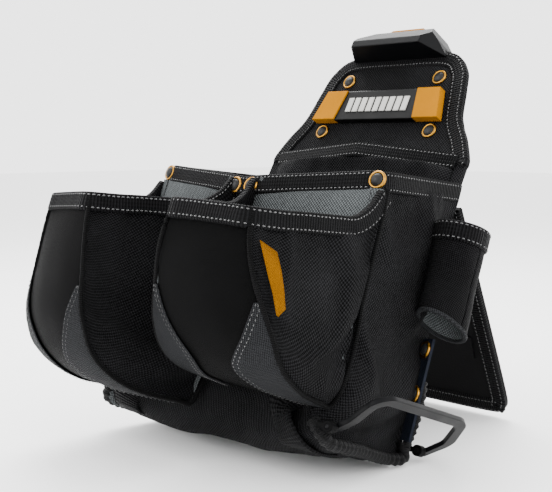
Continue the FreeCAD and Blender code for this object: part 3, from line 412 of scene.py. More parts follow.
# ------------------------------------------------------------------ badge, hub and button
# Moulded parts: a dark badge bar with amber ends and plain ribs, the hub's satin black
# hood, its belt hook and receiver, and the amber release button sunk in the hood's top.


def moulded(name, colour, roughness, grain, shine=0.1):
    """Moulded plastic with a fine spark-eroded grain and eased edges."""
    finish = Finish(name, roughness, Specular_IOR_Level=shine)
    place = finish.node("ShaderNodeTexCoord", {}, {}, output=3)
    eased = finish.node("ShaderNodeBevel", {"samples": 6}, {"Radius": 0.0016})
    texture = finish.speckle(place, 1600, 2.0)
    scuffs = finish.speckle(place, 60, 5.0)
    worn = tuple(min(1, part * 1.4 + 0.001 * (colour[2] > 0)) for part in colour)
    finish.paint(finish.between(scuffs ** 2.0, colour, worn))
    finish.roughen(scuffs * 0.22 + texture * 0.1 + (roughness - 0.16))
    normal = finish.node("ShaderNodeBump", {}, {"Strength": 0.5, "Distance": grain, "Height": texture,
                                                "Normal": eased})
    finish.plug(finish.shader.inputs["Normal"], normal)
    return finish


amber = moulded("amber_plastic", (0.22, 0.084, 0.0), 0.42, 0.00003, 0.01)
refinish(amber, "badge_end_right", "badge_end_left", "release_button")
hub_plastic = moulded("hub_plastic", (0.0009, 0.001, 0.0013), 0.42, 0.00006, 0.06)
refinish(hub_plastic, "hub_hood", "belt_hook", "receiver_plate")
refinish(moulded("badge_plastic", (0.0006, 0.0006, 0.0007), 0.34, 0.00002), "badge_plate")
refinish(moulded("pale_ribs", (0.3, 0.295, 0.28), 0.45, 0.00003), "badge_ribs")
hinge_plastic = moulded("hinge_plastic", (0.0006, 0.0006, 0.0007), 0.5, 0.00005, 0.03)
refinish(hinge_plastic, "panel_knuckles", "kickstand_knuckles", "loop_ears", "heel_strip")

# ------------------------------------------------------------------ rivets
# Turned brass rings pressed round black domed caps. They go through the neck and
# through the bag's rim, and two more go through the stiff strip at the rear seam.
ring_radius, cap_radius = 6.4, 4.7


def lathed(name, seats, profile, finish):
    """A turned shape at each seat. The profile is radius and height."""
    points, places, faces, sides = [], [], [], 28
    for place, facing in seats:
        side = facing.orthogonal().normalized()
        other = facing.cross(side)
        first = len(points)
        for radius, height in profile:
            for step in range(sides):
                angle = 2 * math.pi * step / sides
                points.append(place + (side * math.cos(angle) + other * math.sin(angle)) * radius / 1000
                              + facing * height / 1000)
                places.append((step / sides, radius / 1000))
        for ring in range(len(profile) - 1):
            for step in range(sides):
                following = (step + 1) % sides
                faces.append((first + ring * sides + step, first + ring * sides + following,
                              first + (ring + 1) * sides + following, first + (ring + 1) * sides + step))
        faces.append(tuple(first + (len(profile) - 1) * sides + step for step in range(sides)))
    return new_piece(name, points, faces, places, [finish], "pouch")


brass = Finish("rivet_brass", 0.3, Metallic=1.0)
brass_place = brass.node("ShaderNodeTexCoord", {}, {}, output=3)
brass.paint(brass.between(brass.speckle(brass_place, 500), (0.16, 0.075, 0.008), (0.36, 0.18, 0.025)))
brass.roughen(brass.speckle(brass_place, 900) * 0.25 + 0.2)
cap_black = moulded("rivet_cap", (0.008, 0.008, 0.008), 0.35, 0.00001)
ring_profile = [(cap_radius - 0.3, 0.2), (cap_radius - 0.1, 1.2), (cap_radius + 0.5, 1.7),
                (ring_radius - 0.5, 1.5), (ring_radius, 0.8), (ring_radius, 0)]
cap_profile = [(cap_radius, 0), (cap_radius - 0.2, 1.3), (cap_radius - 1.0, 2.2), (cap_radius - 2.4, 2.8),
               (0.6, 3.1)]


def riveted(label, seats):
    """Rings and caps on seats, instead of the plain solids there."""
    ring = lathed(label + "_brass_ring", seats, ring_profile[::-1], brass)
    cap = lathed(label + "_domed_cap", seats, cap_profile, cap_black)
    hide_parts(label + "_rings")
    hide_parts(label + "_caps")


riveted("neck_rivet", [(NECK @ mm(side * half, 0, height), neck_forward)
                       for side in (-1, 1) for half, height in ((47, 295), (56, 246.5))])

# ------------------------------------------------------------------ flat pocket
# A shallow nylon pocket sewn across the panel where it bends, open at the top. Webbing
# is folded over its mouth and sags a little towards the middle.
flat_half, flat_low, flat_high, flat_sag, flat_gap = 92, 150, 219, 5, 9


def bent(x, y, z):
    """A place on the panel, which bends back above the bend's height."""
    return (NECK if z > bend_height else POUCH) @ mm(x, y, z)


def settle(piece, seams, spare):
    """Let a sheet with some cloth to spare find its folds between its seams."""
    reach, steps = 0.006, 22
    piece.vertex_groups.new(name="seams").add(seams, 1.0, "REPLACE")
    drape = piece.modifiers.new("drape", "CLOTH")
    drape.settings.vertex_group_mass = "seams"
    drape.settings.shrink_min = -spare
    drape.settings.quality = 6
    drape.settings.mass = 0.3
    drape.settings.tension_stiffness = drape.settings.compression_stiffness = 25
    drape.settings.bending_stiffness = 1.5
    drape.settings.effector_weights.gravity = 0.3
    drape.point_cache.frame_end = steps
    for step in range(1, steps + 1):
        bpy.context.scene.frame_set(step)
    draped = piece.evaluated_get(bpy.context.evaluated_depsgraph_get())
    ends = [vertex.co.copy() for vertex in draped.to_mesh().vertices]
    draped.to_mesh_clear()
    piece.modifiers.remove(drape)
    bpy.context.scene.frame_set(1)
    for vertex, end in zip(piece.data.vertices, ends):
        moved = end - vertex.co
        vertex.co += moved * min(1, reach / max(reach, moved.length))


def cloth(name, rows, finishes, thick=0.0012, levels=1, wrinkle=0.0, scale=26.0, flip=False, inside=0,
          spare=0.0):
    """A sewn sheet through rows of points, given a thickness inwards."""
    count = len(rows[0])
    points, places, run_down = [], [], 0.0
    for number, row in enumerate(rows):
        if number:
            run_down += sum((a - b).length for a, b in zip(row, rows[number - 1])) / count
        run = 0.0
        for index, point in enumerate(row):
            if index:
                run += (point - row[index - 1]).length
            points.append(point.copy())
            places.append((run, run_down))
    faces = []
    for ring in range(len(rows) - 1):
        for index in range(count - 1):
            quad = (ring * count + index, ring * count + index + 1, (ring + 1) * count + index + 1,
                    (ring + 1) * count + index)
            faces.append(quad[::-1] if flip else quad)
    piece = new_piece(name, points, faces, places, finishes, "pouch")
    if wrinkle:
        normals = [vertex.normal.copy() for vertex in piece.data.vertices]
        for index, vertex in enumerate(piece.data.vertices):
            row, column = divmod(index, count)
            held = min(row, len(rows) - 1 - row, column, count - 1 - column, 4) / 4
            crease = noise.noise(vertex.co * scale) + 0.5 * noise.noise(vertex.co * scale * 2.7)
            vertex.co += normals[index] * crease * wrinkle * held
    if spare:
        last_row = len(rows) - 1
        settle(piece, [index for index in range(len(points))
                       if index // count in (0, last_row) or index % count in (0, count - 1)], spare)
    area = sum(face.area for face in piece.data.polygons)
    longest = max(place[0] for place in places), max(place[1] for place in places)
    shell = piece.modifiers.new("thickness", "SOLIDIFY")
    shell.thickness, shell.offset, shell.material_offset = thick, -1, inside
    smooth = piece.modifiers.new("smooth", "SUBSURF")
    smooth.levels = smooth.render_levels = levels
    return piece, longest, area


def sewn(flat, area):
    """Take the smaller of a sheet's area and the area of the rectangle it is cut from; the result is not
    used.
    """
    min(area, flat[0] * flat[1])


def flat_mouth(x):
    return flat_high - flat_sag * abs(x) / flat_half


flat_rows = []
for step in range(15):
    rise = step / 14
    row = []
    for place in range(-14, 15):
        x = flat_half * place / 14
        z = flat_low + (flat_mouth(x) - flat_low) * rise
        out = (flat_gap + 1.6) * (1 - (x / flat_half) ** 6) * min(1.0, 3 * rise + 0.05)
        row.append(bent(x, -max(0.6, out), z))
    flat_rows.append(row)
flat_face, flat_cut, flat_area = cloth("flat_pocket_cloth", flat_rows, [nylon], wrinkle=0.0016, scale=30,
                                       spare=0.02)
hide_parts("flat_pocket_face")
sewn(flat_cut, flat_area)
flat_line = resample([bent(x, -(flat_gap + 0.4) * (1 - (x / flat_half) ** 6) - 0.8, flat_mouth(x) + 5.5)
                      for x in range(-92, 93, 8)], 3.5)
flat_facings = [neck_forward] * len(flat_line)
flat_rim = ribbon("flat_pocket_binding", flat_line, flat_facings, 13, 1.4, -0.8, webbing)
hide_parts("flat_pocket_rim")
stitching("flat_pocket_stitching", [(flat_line, flat_facings, across, 1.6) for across in (4.3, -4.3)], thread)

# ------------------------------------------------------------------ main bag
# A deep bag of nylon, lined in grey: a front that runs down, round the toe and under the
# sole, and a gusset each side. Webbing binds its mouth; the gussets' seams are piped.
foot_half, notch_half, front_middle, front_corner = 116, 8, 110, 92
rim_middle, rim_corner, rim_panel, rim_tall = 165, 178, 203, 14
sole_left, sole_right, toe_reach = -19, -9, 98
grey_lining = woven("grey_lining", (0.02, 0.0215, 0.022), (0.11, 0.12, 0.123), 0.0023)
nail_turn = math.atan2(front_middle - front_corner, foot_half - notch_half)


def bag_profile(low):
    """The bag's side view from its mouth, round its toe and under to the panel: reach and height."""
    turns = [(111, 174), (109, 150), (98, 104), (88, 66), (90, 38), (96, 16), (95, low * 0.3),
             (84, low * 0.9), (58, low * 0.85), (30, low * 0.4 - 3), (0, panel_base)]
    return evenly([Vector((reach, height, 0)) for reach, height in turns], 44)


def lesser(first, second):
    """The smaller of two reaches, eased where they meet."""
    soft = 8.0
    near = max(soft - abs(first - second), 0) / soft
    return min(first, second) - near * near * soft / 4


def slant(x):
    """How far out the bag's front can reach at a distance from its middle."""
    return front_middle - max(0, abs(x) - notch_half) * math.tan(nail_turn)


left_profile, right_profile = bag_profile(sole_left), bag_profile(sole_right)


def reach_at(height):
    """How far the bag's side view reaches out at a height."""
    for above, below in zip(right_profile, right_profile[1:]):
        if below.y <= height:
            share = (above.y - height) / max(0.01, above.y - below.y)
            return above.x + (below.x - above.x) * min(1, max(0, share))
    return toe_reach


def mouth_height(share):
    """The mouth's height from the middle of the front (0) to the corner (1)."""
    return rim_middle + (rim_corner - rim_middle) * share


front_rows = []
for left, right in zip(left_profile, right_profile):
    row = []
    for place in range(-18, 19):
        share = place / 18
        reach, height, _ = left.lerp(right, (1 + share) / 2)
        tuck = math.exp(-((height - 14) / 20) ** 2 - ((reach - 96) / 13) ** 2)
        half = min(100 + 16 * reach / front_corner, foot_half - 7 * max(0, height) / rim_corner)
        half -= 17 * tuck
        height += 6 * share ** 4 * math.exp(-((height + 4) / 9) ** 2) * min(1, reach / 60)
        top = mouth_height(abs(share)) - rim_tall / 2
        if height > 100:
            height = 100 + (height - 100) * (top - 100) / (left_profile[0].y - 100)
        row.append(POUCH @ mm(half * share, -lesser(reach, slant(half * share)), height))
    front_rows.append(row)
bag_front, front_cut, front_area = cloth("bag_front_cloth", front_rows, [nylon, grey_lining],
                                         thick=0.002, inside=1, wrinkle=0.0022, scale=19, flip=True,
                                         spare=0.012)
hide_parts("bag_front", "bag_lining")
sewn(front_cut, front_area)
toe = max(range(len(right_profile)), key=lambda index: right_profile[index].x if index > 15 else 0)


def sewn_in(top, bottom, front, rear, columns, rows):
    """A grid of places that fills the space inside four seams. Top and bottom run to the rear."""
    top, bottom = evenly(top, columns), evenly(bottom, columns)
    front, rear = evenly(front, rows), evenly(rear, rows)
    grid = []
    for down in range(rows + 1):
        r, row = down / rows, []
        for place in range(columns + 1):
            c = place / columns
            corners = ((top[0] * (1 - c) + top[-1] * c) * (1 - r)
                       + (bottom[0] * (1 - c) + bottom[-1] * c) * r)
            seams = top[place] * (1 - r) + bottom[place] * r + front[down] * (1 - c) + rear[down] * c
            row.append(seams - corners)
        grid.append(row)
    return grid


def swollen(grid, outward, swell):
    """A grid pushed out in its middle."""
    tall, wide = len(grid) - 1, len(grid[0]) - 1

    def bulge(down, place):
        return abs(math.sin(math.pi * down / tall) * math.sin(math.pi * place / wide)) ** 0.8

    return [[point + outward * swell * bulge(down, place) for place, point in enumerate(row)]
            for down, row in enumerate(grid)]


pouch_turn = POUCH.to_3x3()
gusset_seams = {}
for side, label in ((1, "right"), (-1, "left")):
    edge = [row[-1 if side > 0 else 0] for row in front_rows]
    rear_top, rear_low = POUCH @ mm(side * 102, 4, rim_panel - 7), POUCH @ mm(side * 104, 4, panel_base + 3)
    gusset_seams[label] = edge[toe:] + [rear_low]
    grid = sewn_in([edge[0], edge[0].lerp(rear_top, 0.5), rear_top], edge[toe:] + [rear_low], edge[:toe + 1],
                   [rear_top, rear_top.lerp(rear_low, 0.5), rear_low], 26, 40)
    grid = swollen(grid, pouch_turn @ Vector((side, 0, 0)), 0.0045)
    for row in grid:
        end = row[-1]
        row += [end + pouch_turn @ mm(-side * 4, 0.6, 0), end + pouch_turn @ mm(-side * 16, 0.8, 0)]
    gusset, gusset_cut, gusset_area = cloth(f"gusset_{label}_cloth", grid, [nylon, grey_lining],
                                            thick=0.002, inside=1, wrinkle=0.003, scale=17, flip=side > 0,
                                            spare=0.035)
    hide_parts(f"bag_gusset_{label}")
    sewn(gusset_cut, gusset_area)

mouth = [(100, 3), (103, -30), (106.5, -62), (108.5, -84), (105, -94.5), (90, -98), (60, -103), (30, -108),
         (10, -111), (0, -111.5)]
mouth_line = [Vector((x, y, 0)) for x, y in mouth] + [Vector((-x, y, 0)) for x, y in mouth[-2::-1]]


def mouth_place(point):
    """A place on the mouth's line, at the middle of the webbing's height."""
    to_corner = abs(point.x) / 109
    to_panel = min(1, max(0, (point.y + front_corner) / front_corner))
    height = rim_middle + (rim_corner - rim_middle) * to_corner + (rim_panel - rim_corner) * to_panel
    return POUCH @ mm(point.x, point.y, height - rim_tall / 2)


mouth_even = resample(mouth_line, 3.0)
mouth_spine = [mouth_place(point) for point in mouth_even]
mouth_facings = [pouch_turn @ Vector((-along.y, along.x, 0)) for along in tangents(mouth_even)]
bag_rim = ribbon("bag_mouth_binding", mouth_spine, mouth_facings, rim_tall, 1.6, -3.4, webbing)
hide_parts("bag_rim")
mouth_sewing = [(mouth_spine, mouth_facings, across, 1.8) for across in (4.8, -4.8)]
stitching("bag_mouth_stitching", mouth_sewing, thread)

slanted = pouch_turn @ Vector((math.sin(nail_turn), -math.cos(nail_turn), 0))
forward = pouch_turn @ Vector((0, -1, 0))
rim_seats = []
rivet_out, rivet_run = front_middle + 2.2, 101
for side in (-1, 1):
    rim_seats.append((POUCH @ mm(side * notch_half, -rivet_out, rim_middle - rim_tall / 2), forward))
    outer_place = POUCH @ mm(side * (notch_half + rivet_run * math.cos(nail_turn)),
                             rivet_run * math.sin(nail_turn) - rivet_out, rim_corner - rim_tall / 2)
    rim_seats.append((outer_place, Vector((side * slanted.x, slanted.y, slanted.z))))
riveted("rim_rivet", rim_seats)

# ------------------------------------------------------------------ gathered binding and sole
# The gussets' lower seams are closed with a gathered tape whose pleats show as beads.
# Two straps of webbing run down over the toe and under the sole beside them.


def beaded(name, spine, radius, pitch, finish, sides=12, gather=0.16):
    """A gathered tape: a soft tube with pleats along it."""
    points, places, faces, run = [], [], [], 0.0
    for index, (centre, along) in enumerate(zip(spine, tangents(spine))):
        if index:
            run += (centre - spine[index - 1]).length
        side = along.cross(Vector((0.2, 0.3, 1))).normalized()
        other = along.cross(side).normalized()
        pleat = 1 + gather * math.sin(2 * math.pi * run * 1000 / pitch + 1.6 * noise.noise(centre * 60))
        for step in range(sides):
            angle = 2 * math.pi * step / sides
            swell = radius * pleat * (1 + 0.1 * noise.noise(centre * 160 + Vector((step, 0, 0)))) / 1000
            points.append(centre + side * math.cos(angle) * swell + other * math.sin(angle) * swell)
            places.append((run, radius * angle / 1000))
    for ring in range(len(spine) - 1):
        for step in range(sides):
            following = (step + 1) % sides
            faces.append((ring * sides + step, ring * sides + following, (ring + 1) * sides + following,
                          (ring + 1) * sides + step))
    faces.append(tuple(range(sides - 1, -1, -1)))
    faces.append(tuple((len(spine) - 1) * sides + step for step in range(sides)))
    return new_piece(name, points, faces, places, [finish], "pouch")


pleated = ribbed("gathered_tape", (0.0004, 0.0004, 0.0005), (0.005, 0.005, 0.0055), 0.0012)
pleated.roughen(0.34)
pleated.shader.inputs["Specular IOR Level"].default_value = 0.12
piping_cloth = ribbed("piping_tape", (0.0004, 0.0004, 0.0004), (0.0055, 0.0055, 0.0058), 0.0013)
for side, label in ((1, "right"), (-1, "left")):
    seam = [point + pouch_turn @ Vector((side * 1.6, 0, 2.4)) / 1000 for point in gusset_seams[label]]
    seam_line = evenly(seam[:-2:3] + [seam[-1], POUCH @ mm(side * 104, 3, 12)], 170)
    tape = beaded(f"gathered_tape_{label}", seam_line, 4.3, 4.8, pleated, gather=0.11)
    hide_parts(f"gathered_binding_{label}")
rear_seam = [(107, 3, 10), (108.5, 4, 22), (109, 4.5, 34), (109, 4, 46), (108, 3, 56)]
beaded("gathered_tape_rear", evenly([POUCH @ mm(*place) for place in rear_seam], 80), 3.1, 4.8, pleated)

for side, label in ((1, "right"), (-1, "left")):
    column = 18 + side * 14
    strap = [row[column] for row in front_rows[toe - 4:toe + 9]]
    facings = [(point - (POUCH @ mm(0, -45, 60))).cross(Vector((1, 0, 0))) for point in strap]
    facings = [Vector((1, 0, 0)).cross(facing).normalized() for facing in facings]
    ribbon(f"sole_strap_{label}", strap, facings, 25, 1.9, -0.6, webbing)
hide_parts("sole_straps")

# ------------------------------------------------------------------ nail pockets
# Two deep pockets stand out from the bag's front. Each has a plain band down its front
# and under it, a nylon side panel each side with a piped seam, grey twill patches over
# its lower corners, a grey lining and a webbing rim that dips towards the front.
nail_middle, nail_reach, nail_high, band_top_half = 58.5, 98, 119, 30
grey_twill = woven("grey_twill", (0.0045, 0.0046, 0.005), (0.025, 0.026, 0.028), 0.0021, twill=0.5)
rim_shape = [(-98, 119), (-79, 123.5), (-63, 128), (-38, 134.5), (-20, 140), (-7, 152), (0, 166)]
right_shape = [(-98, 119), (-95.5, 96), (-89, 80), (-80, 66), (-71, 53), (-55, 35), (-35, 25), (-18, 22),
               (0, 21)]
left_shape = [(-98, 119), (-97, 100), (-93, 71), (-88, 42), (-82, 28), (-72, 14), (-55, 4), (-35, -1),
              (-6, 0)]
tag_finish = woven("amber_cloth", (0.13, 0.048, 0.0), (0.23, 0.088, 0.0), 0.0008)


def nail_pocket(side, label, shape):
    """All the pieces of one pocket, drawn for the right side and mirrored for the left."""
    back = (nail_middle - notch_half) * math.tan(nail_turn)
    seat = (POUCH @ Matrix.Translation(mm(side * nail_middle, back - front_middle, 0))
            @ Matrix.Rotation(side * nail_turn, 4, "Z"))
    turned = seat.to_3x3()

    def put(point):
        return seat @ mm(side * point.x, point.y, point.z)

    def recess(x, height):
        """How far behind the pocket's back plane the bag's front lies."""
        across = nail_middle + x * math.cos(nail_turn)
        return slant(across) - lesser(reach_at(height), slant(across))

    path = resample([Vector((0, y, z)) for y, z in shape], 4.5)
    last = len(path) - 1
    outs = [Vector((0, along.z, -along.y)) for along in tangents(path)]

    def half_width(share):
        return band_top_half + 17 * min(1, share / 0.5) ** 1.3 + 7 * max(0, share - 0.5) / 0.5

    band_grid = []
    for step, (point, out) in enumerate(zip(path, outs)):
        share = step / last
        crown = 1.5 + 6.5 * abs(math.sin(math.pi * min(1, share * 1.1))) ** 1.5
        row = []
        for place in range(-10, 11):
            x = half_width(share) * place / 10
            pushed = point + Vector((x, 0, 0)) + out * crown * (1 - (place / 10) ** 2)
            pushed.y += recess(x, pushed.z) * max(0, (share - 0.7) / 0.3) ** 1.5
            row.append(pushed)
        band_grid.append(row)
    band, cut, area = cloth(f"{label}_band", [[put(point) for point in row] for row in band_grid],
                            [smooth_nylon, grey_lining], thick=0.002, wrinkle=0.0012, scale=16, inside=1,
                            flip=side > 0)
    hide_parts(f"{label}_shell")
    sewn(cut, area)

    lining_grid = []
    for down in range(17):
        row = []
        for place in range(-10, 11):
            x = 5.2 * place
            top = mouth_height((nail_middle + x) / foot_half) - rim_tall + 3
            height = top + (shape[-1][1] + 6 - top) * down / 16
            row.append(put(Vector((x, recess(x, height) - 2.2, height))))
        lining_grid.append(row)
    lining, cut, area = cloth(f"{label}_back_lining", lining_grid, [grey_lining], thick=0.001,
                              wrinkle=0.001, scale=24, flip=side < 0)
    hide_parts(f"{label}_lining")
    sewn(cut, area)

    bend, rims, grids = round(last * 0.42), {}, {}
    for outer, where in ((1, "outer"), (-1, "inner")):
        depth = 57 if outer > 0 else 50
        edge = [row[-1 if outer > 0 else 0] for row in band_grid]
        rims[outer] = [Vector((outer * (band_top_half + (depth - band_top_half) * (1 + y / 98) ** 0.6), y, z))
                       for y, z in rim_shape]
        low = edge[-1].z
        rise = [Vector((outer * (depth + 1), recess(outer * depth, height) + 0.5, height))
                for height in (low + 14, low + 40, 90, 120, 143)]
        rear = [edge[-1]] + rise + [rims[outer][-1]]
        grid = sewn_in(rims[outer], edge[bend:], edge[:bend + 1], rear[::-1], 26, 26)
        grid = swollen(grid, Vector((outer, 0, 0)), 8.0 if outer > 0 else 4.0)
        grids[outer] = grid
        turned_in = (Vector((-outer * 4, -1.6, 0)), Vector((-outer * 11, -2.0, 0)))
        rows = [[put(point) for point in row + [row[-1] + turn for turn in turned_in]] for row in grid]
        panel, cut, area = cloth(f"{label}_{where}_side", rows, [nylon, grey_lining], thick=0.002,
                                 wrinkle=0.003, scale=17, inside=1, flip=(outer * side) > 0, spare=0.035)
        sewn(cut, area)
        piping = [put(point + Vector((outer * 0.8, 0, 0))) for point in edge[::2] + rear[1:]]
        beaded(f"{label}_{where}_piping", evenly(piping, 190), 1.6, 2.6, piping_cloth, sides=8, gather=0.05)

    mouth_front = [Vector((x, -nail_reach - 1.4, nail_high)) for x in (-15, 0, 15)]
    mouth_points = [point - Vector((0, 0, 5.5)) for point in rims[-1][::-1] + mouth_front + rims[1]]
    mouth_points = resample(mouth_points, 3.0)
    facings = []
    for along in tangents(mouth_points):
        level = Vector((along.y, -along.x, 0)).normalized()
        facings.append(turned @ Vector((side * level.x, level.y, 0)))
    spine = [put(point) for point in mouth_points]
    rim = ribbon(f"{label}_mouth_binding", spine, facings, 13, 1.9, -3.4, webbing)
    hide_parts(f"{label}_rim")
    stitching(f"{label}_mouth_stitching", [(spine, facings, across, 2.1) for across in (4.4, -4.4)], thread)

    patches, sewing = [], []
    first = round(last * 0.36)
    for outer, where in ((1, "outer"), (-1, "inner")):
        rows, facing = [], []
        for step in range(first, last + 1):
            share = (step - first) / (last - first)
            inner = 0.93 - 0.62 * min(1, share / 0.42) + 0.3 * max(0, share - 0.5) / 0.5
            row = []
            for place in range(9):
                across = outer * (inner + (1.0 - inner) * place / 8) * 10 + 10
                left_place = min(19, int(across))
                point = band_grid[step][left_place].lerp(band_grid[step][left_place + 1], across - left_place)
                row.append(put(point + outs[step] * 1.7 + Vector((outer * 0.5, 0, 0))))
            rows.append(row)
            facing.append(turned @ Vector((0, outs[step].y, outs[step].z)))
        patch, cut, area = cloth(f"{label}_{where}_patch", rows, [grey_twill], thick=0.001,
                                 flip=(outer * side) > 0)
        sewn(cut, area)
        patches.append(patch)
        for inset in (0.002, 0.0055):
            line = [row[0].lerp(row[-1], min(0.9, inset / (row[-1] - row[0]).length)) for row in rows]
            sewing.append((line, facing, 0, 0.4))
    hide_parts(f"{label}_patches")
    stitching(f"{label}_patch_stitching", sewing, thread, long=1.8, thick=0.6)
    return put, grids[1]


right_put, right_grid = nail_pocket(1, "right_pocket", right_shape)
nail_pocket(-1, "left_pocket", left_shape)

# ------------------------------------------------------------------ side tag
# A small plain amber tag sewn flat to the right pocket's outer side, beside its front seam.
# Each row of its grid runs from one place to another, as shares down and along the side.
tag_edges = [(0.27, 0.045, 0.32, 0.14), (0.41, 0.07, 0.44, 0.17), (0.54, 0.09, 0.57, 0.195),
             (0.67, 0.115, 0.695, 0.215), (0.81, 0.14, 0.81, 0.152)]


def on_grid(grid, down, along):
    """A place on a grid, by its shares down and along."""
    tall, wide = down * (len(grid) - 1), along * (len(grid[0]) - 1)
    row, place = int(tall), int(wide)
    upper = grid[row][place].lerp(grid[row][place + 1], wide - place)
    lower = grid[row + 1][place].lerp(grid[row + 1][place + 1], wide - place)
    return upper.lerp(lower, tall - row)


tag_rows, tag_off = [], Vector((2.6, -1.2, 0))
for high, start, low, stop in tag_edges:
    places = [(high + (low - high) * step / 6, start + (stop - start) * step / 6) for step in range(7)]
    tag_rows.append([right_put(on_grid(right_grid, *place) + tag_off) for place in places])
tag, tag_cut, tag_area = cloth("amber_tag", tag_rows, [tag_finish], thick=0.001, levels=0)
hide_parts("side_tag")
sewn(tag_cut, tag_area)

# ------------------------------------------------------------------ side sleeve
# A tube of twilled nylon lined in grey, for a driver. It is open at both ends, has a
# webbing band round its top and hangs from the panel's edge by a sewn tab.
sleeve_x, sleeve_y, sleeve_wide, sleeve_deep = 122, -11, 17, 20
sleeve_low = 94


def oval(height, grow, step, steps):
    angle = 2 * math.pi * step / steps
    soft = 1 + 0.025 * math.sin(3 * angle + height / 17)
    low = max(0, 1 - (height - sleeve_low) / 50)
    return POUCH @ mm(sleeve_x + math.cos(angle) * (sleeve_wide + grow) * soft,
                      sleeve_y + math.sin(angle) * (sleeve_deep + grow) * soft,
                      height - 7 * low * math.sin(angle))


sleeve_rows = [[oval(sleeve_low + 60 * step / 9, 0.4 * math.sin(step), place, 32) for place in range(33)]
               for step in range(10)]
sleeve_cloth = woven("sleeve_twill", black_dark, (0.0095, 0.0095, 0.0103), 0.0026, twill=0.8)
sleeve, sleeve_cut, sleeve_area = cloth("sleeve_cloth", sleeve_rows, [sleeve_cloth, grey_lining],
                                        thick=0.0018, inside=1)
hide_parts("sleeve_tube")
sewn(sleeve_cut, sleeve_area)
for name, height, wide, front, finish in (("sleeve_top_band", 159, 14, 1.6, webbing),
                                          ("sleeve_foot_edge", sleeve_low + 1.2, 2.6, 0.9, grey_twill)):
    ring = [oval(height, 0, place, 48) for place in range(49)]
    centre = POUCH @ mm(sleeve_x, sleeve_y, height)
    facings = [(point - centre).normalized() for point in ring]
    band = ribbon(name, ring, facings, wide, front, -2.0, finish)
    if finish is webbing:
        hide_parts("sleeve_band")
        stitching("sleeve_stitching", [(ring, facings, across, 1.8) for across in (5, -5)], thread)

# ------------------------------------------------------------------ edge strip and hammer loop
# A navy stiffened strip with two rivets stands out beside the rear seam. Below it the
# hammer loop, a flat steel bail with a dark coating, swings in two eyelets.
navy = Finish("navy_strip", 0.55, Sheen_Weight=0.01, Specular_IOR_Level=0.06)
navy_place = navy.node("ShaderNodeTexCoord", {}, {}, output=3)
navy.paint(navy.between(navy.speckle(navy_place, 300, 3.0), (0.001, 0.0015, 0.003), (0.005, 0.0075, 0.0145)))
navy.relief(navy.speckle(navy_place, 1400), 0.0003)
refinish(navy, "edge_strip")
strip_seat = POUCH @ Matrix.Translation(mm(100.4, 2, 0)) @ Matrix.Rotation(-math.radians(25), 4, "Z")
strip_facing = strip_seat.to_3x3() @ Vector((0, -1, 0))
riveted("edge_rivet", [(strip_seat @ mm(7, 0, height), strip_facing) for height in (78, 46)])
coated = Finish("coated_steel", 0.35, Specular_IOR_Level=0.05)
coated_place = coated.node("ShaderNodeTexCoord", {}, {}, output=3)
coated_wear = coated.speckle(coated_place, 45, 5.0)
coated.paint(coated.between(coated_wear, (0.0008, 0.0008, 0.001), (0.0035, 0.0035, 0.004)))
coated.roughen(coated_wear * 0.3 + 0.24)
coated_normal = coated.node("ShaderNodeBump", {}, {
    "Strength": 0.3, "Distance": 0.0001, "Height": coated.speckle(coated_place, 1800),
    "Normal": coated.node("ShaderNodeBevel", {"samples": 6}, {"Radius": 0.0012})})
coated.plug(coated.shader.inputs["Normal"], coated_normal)
refinish(coated, "hammer_loop")
bare_steel = Finish("rod_steel", 0.3, Metallic=1.0)
steel_place = bare_steel.node("ShaderNodeTexCoord", {}, {}, output=3)
steel_tone = bare_steel.speckle(steel_place, 200)
bare_steel.paint(bare_steel.between(steel_tone, (0.3, 0.3, 0.3), (0.55, 0.55, 0.56)))
bare_steel.roughen(bare_steel.speckle(steel_place, 700) * 0.3 + 0.2)
refinish(bare_steel, "hinge_rod", "button_spring")

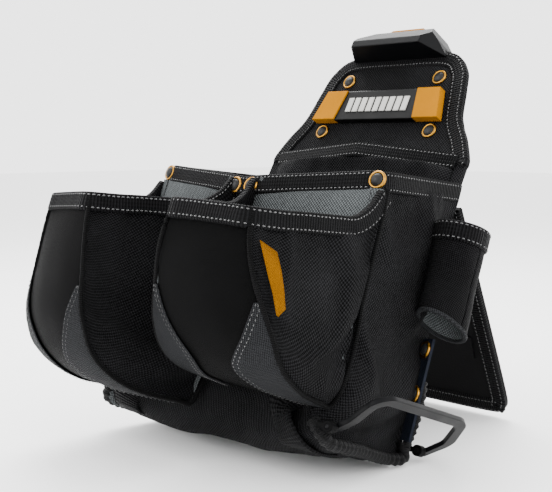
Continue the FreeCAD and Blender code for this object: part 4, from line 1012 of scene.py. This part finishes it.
# ------------------------------------------------------------------ kickstand
# A stiff board covered in smooth nylon, hinged on a rod high on the panel's back. Its
# edge is bound in webbing, and a webbing strap stops it from opening too far.
board_finish = Finish("board_nylon", 0.5, Sheen_Weight=0.01, Specular_IOR_Level=0.04)
board_place = leaned_coordinates(board_finish)
board_grain = board_finish.speckle(board_place, 900, 3.0)
board_tone = board_grain * 0.6 + board_finish.speckle(board_place, 14, 4.0) * 0.5
board_finish.paint(board_finish.between(board_tone, (0.0003, 0.0003, 0.0003), (0.0028, 0.0028, 0.0031)))
board_finish.roughen(board_grain * 0.25 + 0.4)
board_finish.relief(board_grain, 0.00025)
refinish(board_finish, "kickstand_board", "kickstand_patch")
hinge = next(joint for joint in frame["joints"] if joint["name"] == "kickstand_hinge")
STAND = Matrix.Translation(Vector(hinge["pos_m"])) @ Matrix.Rotation(math.radians(25), 4, "X")
stand_thick, stand_inset = 4, 6.0
stand_half = [(94.6, -8), (93, -90), (91.2, -170), (88.5, -187), (78, -193.4)]
stand_outline = [(-x, z) for x, z in stand_half] + [(0, -194)] + stand_half[::-1]
stand_spine = inset_spine(STAND, stand_outline, -stand_inset, -stand_thick / 2)
stand_forward = STAND.to_3x3() @ Vector((0, -1, 0))
stand_facings = [stand_forward] * len(stand_spine)
stand_binding = ribbon("kickstand_fold", stand_spine, stand_facings, 13, 1.3, -stand_thick - 1.3, webbing,
                       body="kickstand")
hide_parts("kickstand_binding")
stitching("kickstand_stitching", [(stand_spine, stand_facings, across, 1.5) for across in (4.2, -4.2)],
          board_thread, body="kickstand")
refinish(panel_cloth, "sleeve_tab")
stay_start, stay_end = POUCH @ mm(0, panel_thick, 62), STAND @ mm(0, -stand_thick / 2, -120)
stay_spine = evenly([stay_start.lerp(stay_end, share) for share in (0, 0.3, 0.7, 1)], 36)[1:-1]
stay_facings = [Vector((0, 0, 1))] * len(stay_spine)
stay = ribbon("stay_webbing", stay_spine, stay_facings, 20, 0.7, -0.7, webbing, body=None)
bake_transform(stay)
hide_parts("stay_strap")
